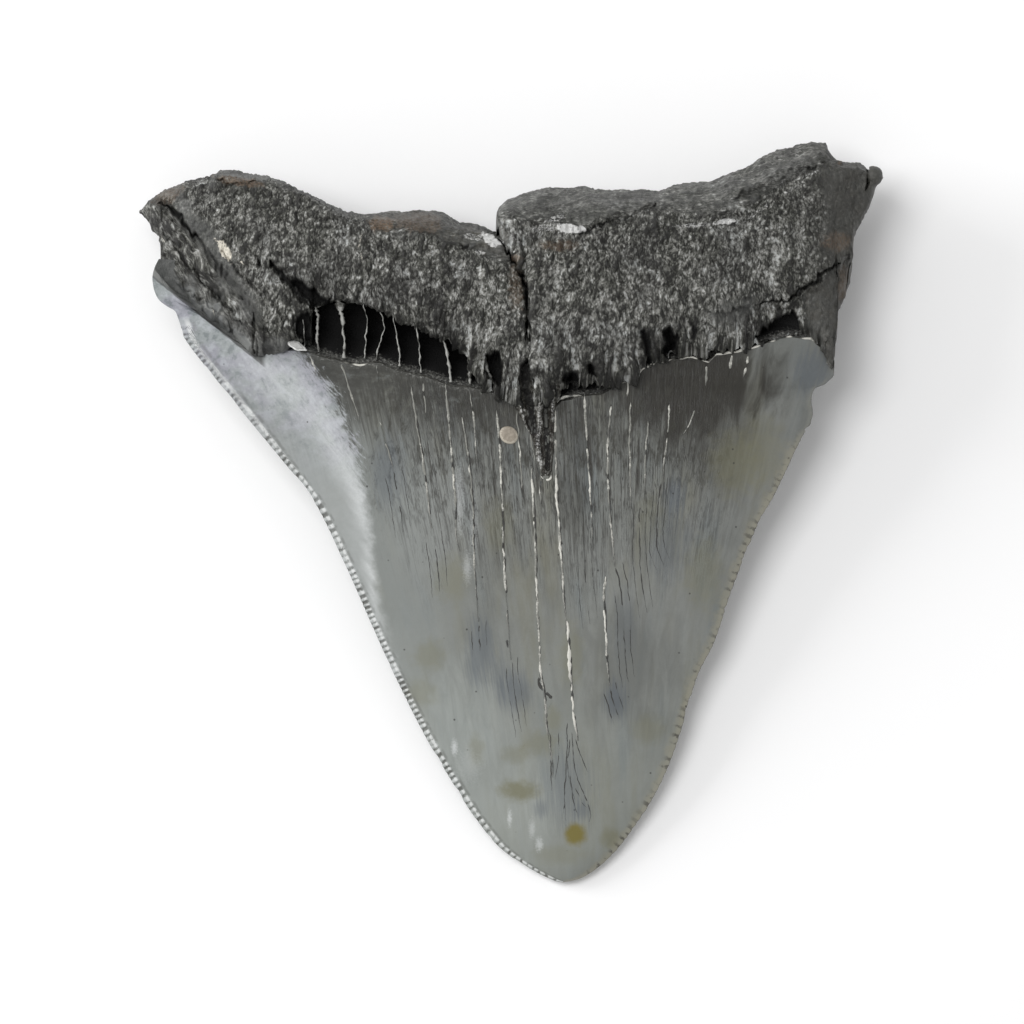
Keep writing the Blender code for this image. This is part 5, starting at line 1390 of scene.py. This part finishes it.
def tongue(material):
    """The rough tongue of root that runs down onto the enamel between two pale strands."""
    y = np.linspace(TONGUE_TOP, TONGUE_END, 150)[:, None]
    left, right = x_at(y, TONGUE_LEFT), x_at(y, TONGUE_RIGHT)
    s = np.linspace(-1.0, 1.0, 64)[None, :]
    x = left + (right - left) * (s + 1) / 2
    s, y = (np.broadcast_to(values, x.shape) for values in (s, y))
    x = x + 0.14 * noise(81, s, y / 1.1)
    inset = np.minimum((1.0 - np.abs(s)) * (right - left) / 2, (y - TONGUE_END) * 0.8)
    relief, _ = fibres(84, x, y, x * 0, 4.0)
    relief = relief + 0.25 * noise(86, x / 0.3, y / 0.6)
    strands, hole, zeros = np.zeros_like(x), np.zeros_like(x), np.zeros_like(x)
    for path, half_width in TONGUE_STRANDS:
        gap, _, _ = to_line(x, y, path)
        strands = np.maximum(strands, smooth(half_width * 1.3, half_width * 0.4, gap))
    # gaps between the strands: sunk and painted dark with shade
    for path, half_width in TONGUE_GAPS:
        gap, _, _ = to_line(x + 0.2 * noise(82, x / 0.7, y / 1.4), y, path)
        hole = np.maximum(hole, smooth(half_width * 1.25, half_width * 0.5, gap))
    rise = smooth(0.0, 0.55, inset) * (0.35 + 0.55 * relief + 0.7 * strands - 0.5 * hole)
    rise = rise * (0.55 + 0.45 * smooth(6.0, 16.0, y)) + 0.5 * smooth(13.0, 17.5, y)
    z = ground(x, y) + (rise - 0.22 * smooth(0.3, 0.0, inset))
    # the tongue's rim is painted dark too: painted shade where it meets the enamel
    return new_piece(
        "tooth_tongue", np.stack([x, y, z], axis=-1), grid_faces(*x.shape), material,
        relief=np.clip(relief * 0.9 + 0.4 * strands - 0.15, 0, 1), flat=zeros, brown=zeros,
        pale=strands * 0.55, rust=zeros + 0.1, glint=0.3 + 0.7 * strands, fibre_a=x, fibre_b=y,
        hole=np.clip(hole * 0.85 + 0.25 * smooth(0.35, 0.0, inset), 0, 1), lower=zeros)


def lens(name, spot, turn, rise, base, material, seed, rough=0.12, pointed=0.0):
    """A lens-shaped crust, on the enamel or from a base height. A spot is X, Y, half length and
    half width."""
    cx, cy, half_x, half_y = spot
    t, a = np.meshgrid(np.linspace(0.0, 1.0, 16), np.arange(64) * 2 * np.pi / 64, indexing="ij")
    ragged = 1.0 + rough * layers(seed, 2, np.cos(a) * 1.6 + 5.0, np.sin(a) * 1.6)
    u = half_x * t * ragged * np.cos(a)
    v = half_y * t * ragged * np.sin(a) * np.abs(np.sin(a)) ** pointed
    u, v = turned(u, v, -turn)
    x, y = cx + u, cy + v
    lift = rise * (1.0 - t ** 5) * (1.0 + 0.3 * layers(seed + 3, 2, x / 0.5, y / 0.5))
    z = (ground(x, y) if base is None else base) + (lift - 0.2 * smooth(0.9, 1.0, t))
    # paler towards the rim and on one side as if lit from there: painted light; the outermost rim is tinted
    # by the wear value
    return new_piece(name, np.stack([x, y, z], axis=-1), grid_faces(*t.shape, closed=True), material,
                     light=smooth(0.5, 0.9, t) * (0.7 + 0.3 * np.cos(a + 0.8)),
                     worn=smooth(0.93, 1.0, t) * 0.35)


# ---------------------------------------------------------------- the add-on
def colour_of(name, description, value):
    return bpy.props.FloatVectorProperty(name=name, description=description, subtype='COLOR',
                                         size=3, min=0.0, max=1.0, default=value)


def size_of(name, description, value, least, most):
    return bpy.props.FloatProperty(name=name, description=description + ", mm",
                                   default=value, min=least, max=most)


class ToothSizes(bpy.types.PropertyGroup):
    """Sizes of the tooth's fine shapes, in millimetres."""
    crown_columns: bpy.props.IntProperty(
        name="Enamel columns", description="Columns of points across the outer enamel between its edges",
        default=60, min=8, max=62)
    root_columns: bpy.props.IntProperty(
        name="Root columns", description="Rings of points along each half of the root",
        default=470, min=60, max=520)
    serration_pitch: size_of("Serration pitch", "Distance from notch to notch", 0.85, 0.4, 2.0)
    serration_depth: size_of("Serration depth", "How far a notch cuts into the edge", 0.07, 0.0, 0.6)
    root_relief: size_of("Root relief", "Height of the weathered fibres on the root", 0.55, 0.0, 1.0)
    cap_roundness: size_of("Lobe roundness", "How far the ends of the root halves swell", 0.6, 0.0, 2.0)
    vein_rise: size_of("Vein rise", "How far the mineral veins stand above the enamel", 0.07, 0.0, 0.3)


class ToothColours(bpy.types.PropertyGroup):
    """Colours of the enamel, the root and what grew on them."""
    enamel: colour_of("Enamel", "Main colour of the enamel", (0.15, 0.155, 0.145))
    enamel_pale: colour_of("Pale enamel", "Colour of the paler clouds", (0.19, 0.195, 0.185))
    enamel_blue: colour_of("Blue enamel", "Colour of the bluish patches", (0.14, 0.165, 0.18))
    enamel_olive: colour_of("Olive enamel", "Colour of the olive patches", (0.17, 0.165, 0.125))
    neck: colour_of("Neck", "Stained enamel under the root", (0.023, 0.0215, 0.017))
    stain: colour_of("Stain", "Brown-black stain", (0.015, 0.013, 0.009))
    hair: colour_of("Hairlines", "Dark hairlines in the enamel", (0.029, 0.028, 0.025))
    # the worn flank's colours are painted highlight: the white core and the paler zone beside it; the white
    # is also laid on the glints and on the left serrations' pale bars
    flank: colour_of("Worn flank", "Pale scattering of the worn left flank", (0.6, 0.62, 0.62))
    flank_painted_sheen: colour_of("Flank shade", "The worn flank beside its bright streak", (0.33, 0.345, 0.34))
    olive: colour_of("Olive spots", "Colour of the small olive spots", (0.15, 0.145, 0.085))
    smudge: colour_of("Smudges", "Colour of the blue-grey smudges", (0.075, 0.09, 0.11))
    yellow: colour_of("Yellow spot", "Colour of the spot near the point", (0.15, 0.12, 0.014))
    edge_cream: colour_of("Cream edge", "Right cutting edge", (0.27, 0.25, 0.18))
    # darker colour laid in the serrations' notches
    notch: colour_of("Notches", "Dirt in the serrations", (0.04, 0.037, 0.03))
    # painted shade: black inside the hollow, the pits and the cracks, dark purple-grey on the hollow's
    # floor beside the enamel
    hollow: colour_of("Hollow", "Inside of the hollow and the pits", (0.004, 0.004, 0.004))
    hollow_rim: colour_of("Hollow rim", "The hollow's floor beside the enamel", (0.05, 0.048, 0.055))
    # the root's ramp is partly painted light: the relief darkens its pits as shade, and the glint colour is
    # a painted highlight on the fibre tops
    root: colour_of("Root", "Main colour of the root", (0.108, 0.108, 0.1))
    root_dark: colour_of("Dark root", "Low ground of the root", (0.042, 0.041, 0.036))
    root_pit: colour_of("Root pits", "Deepest pits between the fibres", (0.009, 0.0085, 0.007))
    root_pale: colour_of("Pale root", "Tops of the root's fibres", (0.235, 0.232, 0.215))
    root_glint: colour_of("Root glints", "Silvery grains on the fibres", (0.46, 0.47, 0.455))
    root_green: colour_of("Green cast", "Olive cast in the root", (0.32, 0.34, 0.27))
    slate: colour_of("Slate", "Smooth slate faces", (0.085, 0.088, 0.085))
    slate_pale: colour_of("Pale slate", "Paler slate faces", (0.16, 0.163, 0.158))
    brown: colour_of("Brown", "Brown smooth faces", (0.085, 0.076, 0.06))
    rust: colour_of("Rust", "Orange-brown stains", (0.16, 0.095, 0.05))
    deposit: colour_of("Deposit", "Cream-white flakes on the root", (0.66, 0.62, 0.53))
    vein_low: colour_of("Vein shade", "Shaded grains of the veins", (0.2, 0.2, 0.18))
    vein_high: colour_of("Vein light", "Bright grains of the veins", (0.58, 0.57, 0.52))
    vein_worn: colour_of("Worn vein", "Where a vein thins out", (0.1, 0.1, 0.094))
    disc: colour_of("Oval crust", "The beige crust on the enamel", (0.27, 0.235, 0.19))
    chip: colour_of("White chip", "The white chip under the root", (0.5, 0.5, 0.49))


def tooth_sizes():
    return bpy.context.scene.tooth_sizes


def tooth_colours():
    settings = bpy.context.scene.tooth_colours
    names = ToothColours.__annotations__
    return SimpleNamespace(**{name: tuple(getattr(settings, name)) for name in names})


class ToothOperator:
    """What the tooth's operators share."""
    bl_options = {'REGISTER', 'UNDO'}

    def execute(self, context):
        made = self.make(tooth_sizes(), tooth_colours())
        if not made:
            raise RuntimeError(f"{self.bl_label} made nothing")
        return {'FINISHED'}


class TOOTH_OT_enamel(ToothOperator, bpy.types.Operator):
    """Make the enamelled blade with its serrated edges and the hollow's floor"""
    bl_idname = "tooth.enamel"
    bl_label = "Enamel blade"

    def make(self, sizes, colours):
        return crown(sizes, enamel_material(colours))


class TOOTH_OT_root(ToothOperator, bpy.types.Operator):
    """Make the two halves of the weathered root and the tongue between them"""
    bl_idname = "tooth.root"
    bl_label = "Weathered root"

    def make(self, sizes, colours):
        material = root_material(colours)
        root_half("tooth_root_left", LEFT_TOP, LEFT_LIP, LEFT_STATIONS, material, sizes)
        root_half("tooth_root_right", RIGHT_TOP, RIGHT_LIP, RIGHT_STATIONS, material, sizes)
        return tongue(material)


class TOOTH_OT_fins(ToothOperator, bpy.types.Operator):
    """Make the thin mineral fins in the hollow, their sides painted dark with shade, and the enamel's rim
    bead painted pale as a highlight
    """
    bl_idname = "tooth.fins"
    bl_label = "Fins and rim"

    def make(self, sizes, colours):
        # the fins' sides fade to the pit colour downwards: painted shade towards the hollow's floor
        fins = mineral_material("fin mineral", colours.root_dark, (0.34, 0.34, 0.32), colours.root_pit)
        mineral_piece("tooth_fins", [fin_part(path, widths, 100 + 7 * k)
                                     for k, (path, widths) in enumerate(FINS)], fins)
        rim = mineral_material("rim mineral", colours.vein_low, colours.vein_high, colours.neck)
        return mineral_piece("tooth_enamel_rim", [rim_highlight_part()], rim)


class TOOTH_OT_veins(ToothOperator, bpy.types.Operator):
    """Make the pale mineral veins and the dark lines in the enamel: sediment in cracks, and painted shadows
    beside the fine veins
    """
    bl_idname = "tooth.veins"
    bl_label = "Veins"

    def make(self, sizes, colours):
        pale = mineral_material("vein mineral", colours.vein_low, colours.vein_high, colours.vein_worn)
        mineral_piece("tooth_veins_pale", [
            vein_part(path, width, light, 0.8, sizes.vein_rise, 200 + 11 * k)
            for k, (path, width, light) in enumerate(VEINS)], pale)
        dark = mineral_material("vein sediment", colours.hair, (0.06, 0.064, 0.062), (0.09, 0.098, 0.1))
        return mineral_piece("tooth_veins_dark", [
            vein_part(path, width, 0.2, 0.3, SEDIMENT_AND_SHADOW_RISE, 600 + 11 * k, gaps)
            for k, (path, width, gaps) in enumerate(sediment_and_shadow_lines())], dark)


class TOOTH_OT_crusts(ToothOperator, bpy.types.Operator):
    """Make the beige oval crust on the enamel and the white chip under the root"""
    bl_idname = "tooth.crusts"
    bl_label = "Crusts"

    def make(self, sizes, colours):
        beige = mineral_material("beige crust", colours.disc, (0.46, 0.42, 0.35), colours.neck)
        lens("tooth_oval_crust", (-0.4, 9.6, 1.28, 1.1), -35.0, 0.28, None, beige, 301, 0.04)
        white = mineral_material("white chip", (0.34, 0.34, 0.33), (0.86, 0.86, 0.84), colours.chip)
        return lens("tooth_white_chip", (-26.85, 20.75, 1.35, 0.55), -25.0, 0.45, 15.9, white, 311,
                    0.2, 0.3)


class TOOTH_OT_stage(ToothOperator, bpy.types.Operator):
    """Make the white table, the soft lights, the pale surroundings and the camera"""
    bl_idname = "tooth.stage"
    bl_label = "Stage"

    def make(self, sizes, colours):
        mesh = bpy.data.meshes.new("table")
        steps = np.linspace(-TABLE_HALF, TABLE_HALF, 9)
        mesh.from_pydata([(x, y, 0.0) for y in steps for x in steps], [], grid_faces(9, 9))
        mesh.materials.append(floor_material())
        placed("table", mesh)

        for name, place, size, power in STAGE_LIGHTS:
            lamp = bpy.data.lights.new(name, 'AREA')
            lamp.shape = 'RECTANGLE'
            lamp.size, lamp.size_y = size
            lamp.energy = power
            light = placed(name, lamp, place)
            light.rotation_euler = (-Vector(place)).to_track_quat('-Z', 'Y').to_euler()

        scene = bpy.context.scene
        scene.world = bpy.data.worlds.new("studio")
        scene.world.use_nodes = True
        background = scene.world.node_tree.nodes["Background"]
        background.inputs["Color"].default_value = (1.0, 1.0, 1.0, 1.0)
        background.inputs["Strength"].default_value = WORLD_STRENGTH
        scene.view_settings.view_transform = 'Standard'

        camera = bpy.data.cameras.new("camera")
        camera.lens = CAMERA_LENS
        camera.sensor_width = CAMERA_SENSOR
        camera.clip_start = 0.1
        scene.camera = placed("camera", camera, (0.0, 0.0, CAMERA_HEIGHT))
        return scene.camera


class TOOTH_PT_panel(bpy.types.Panel):
    """Lists the tooth's pieces, sizes and colours."""
    bl_label = "Megalodon tooth"
    bl_idname = "TOOTH_PT_panel"
    bl_space_type = 'VIEW_3D'
    bl_region_type = 'UI'
    bl_category = "Tooth"

    def draw(self, context):
        for operator in OPERATORS:
            self.layout.operator(operator.bl_idname)
        for settings in (context.scene.tooth_sizes, context.scene.tooth_colours):
            box = self.layout.box()
            for name in type(settings).__annotations__:
                box.prop(settings, name)


OPERATORS = (TOOTH_OT_enamel, TOOTH_OT_root, TOOTH_OT_fins, TOOTH_OT_veins, TOOTH_OT_crusts,
             TOOTH_OT_stage)
CLASSES = (ToothSizes, ToothColours) + OPERATORS + (TOOTH_PT_panel,)


def register():
    for cls in CLASSES:
        bpy.utils.register_class(cls)
    bpy.types.Scene.tooth_sizes = bpy.props.PointerProperty(type=ToothSizes)
    bpy.types.Scene.tooth_colours = bpy.props.PointerProperty(type=ToothColours)


def unregister():
    del bpy.types.Scene.tooth_colours
    del bpy.types.Scene.tooth_sizes
    for cls in reversed(CLASSES):
        bpy.utils.unregister_class(cls)


def main():
    register()
    bpy.ops.tooth.enamel()
    bpy.ops.tooth.root()
    bpy.ops.tooth.fins()
    bpy.ops.tooth.veins()
    bpy.ops.tooth.crusts()
    bpy.ops.tooth.stage()


if __name__ == "__main__":
    main()
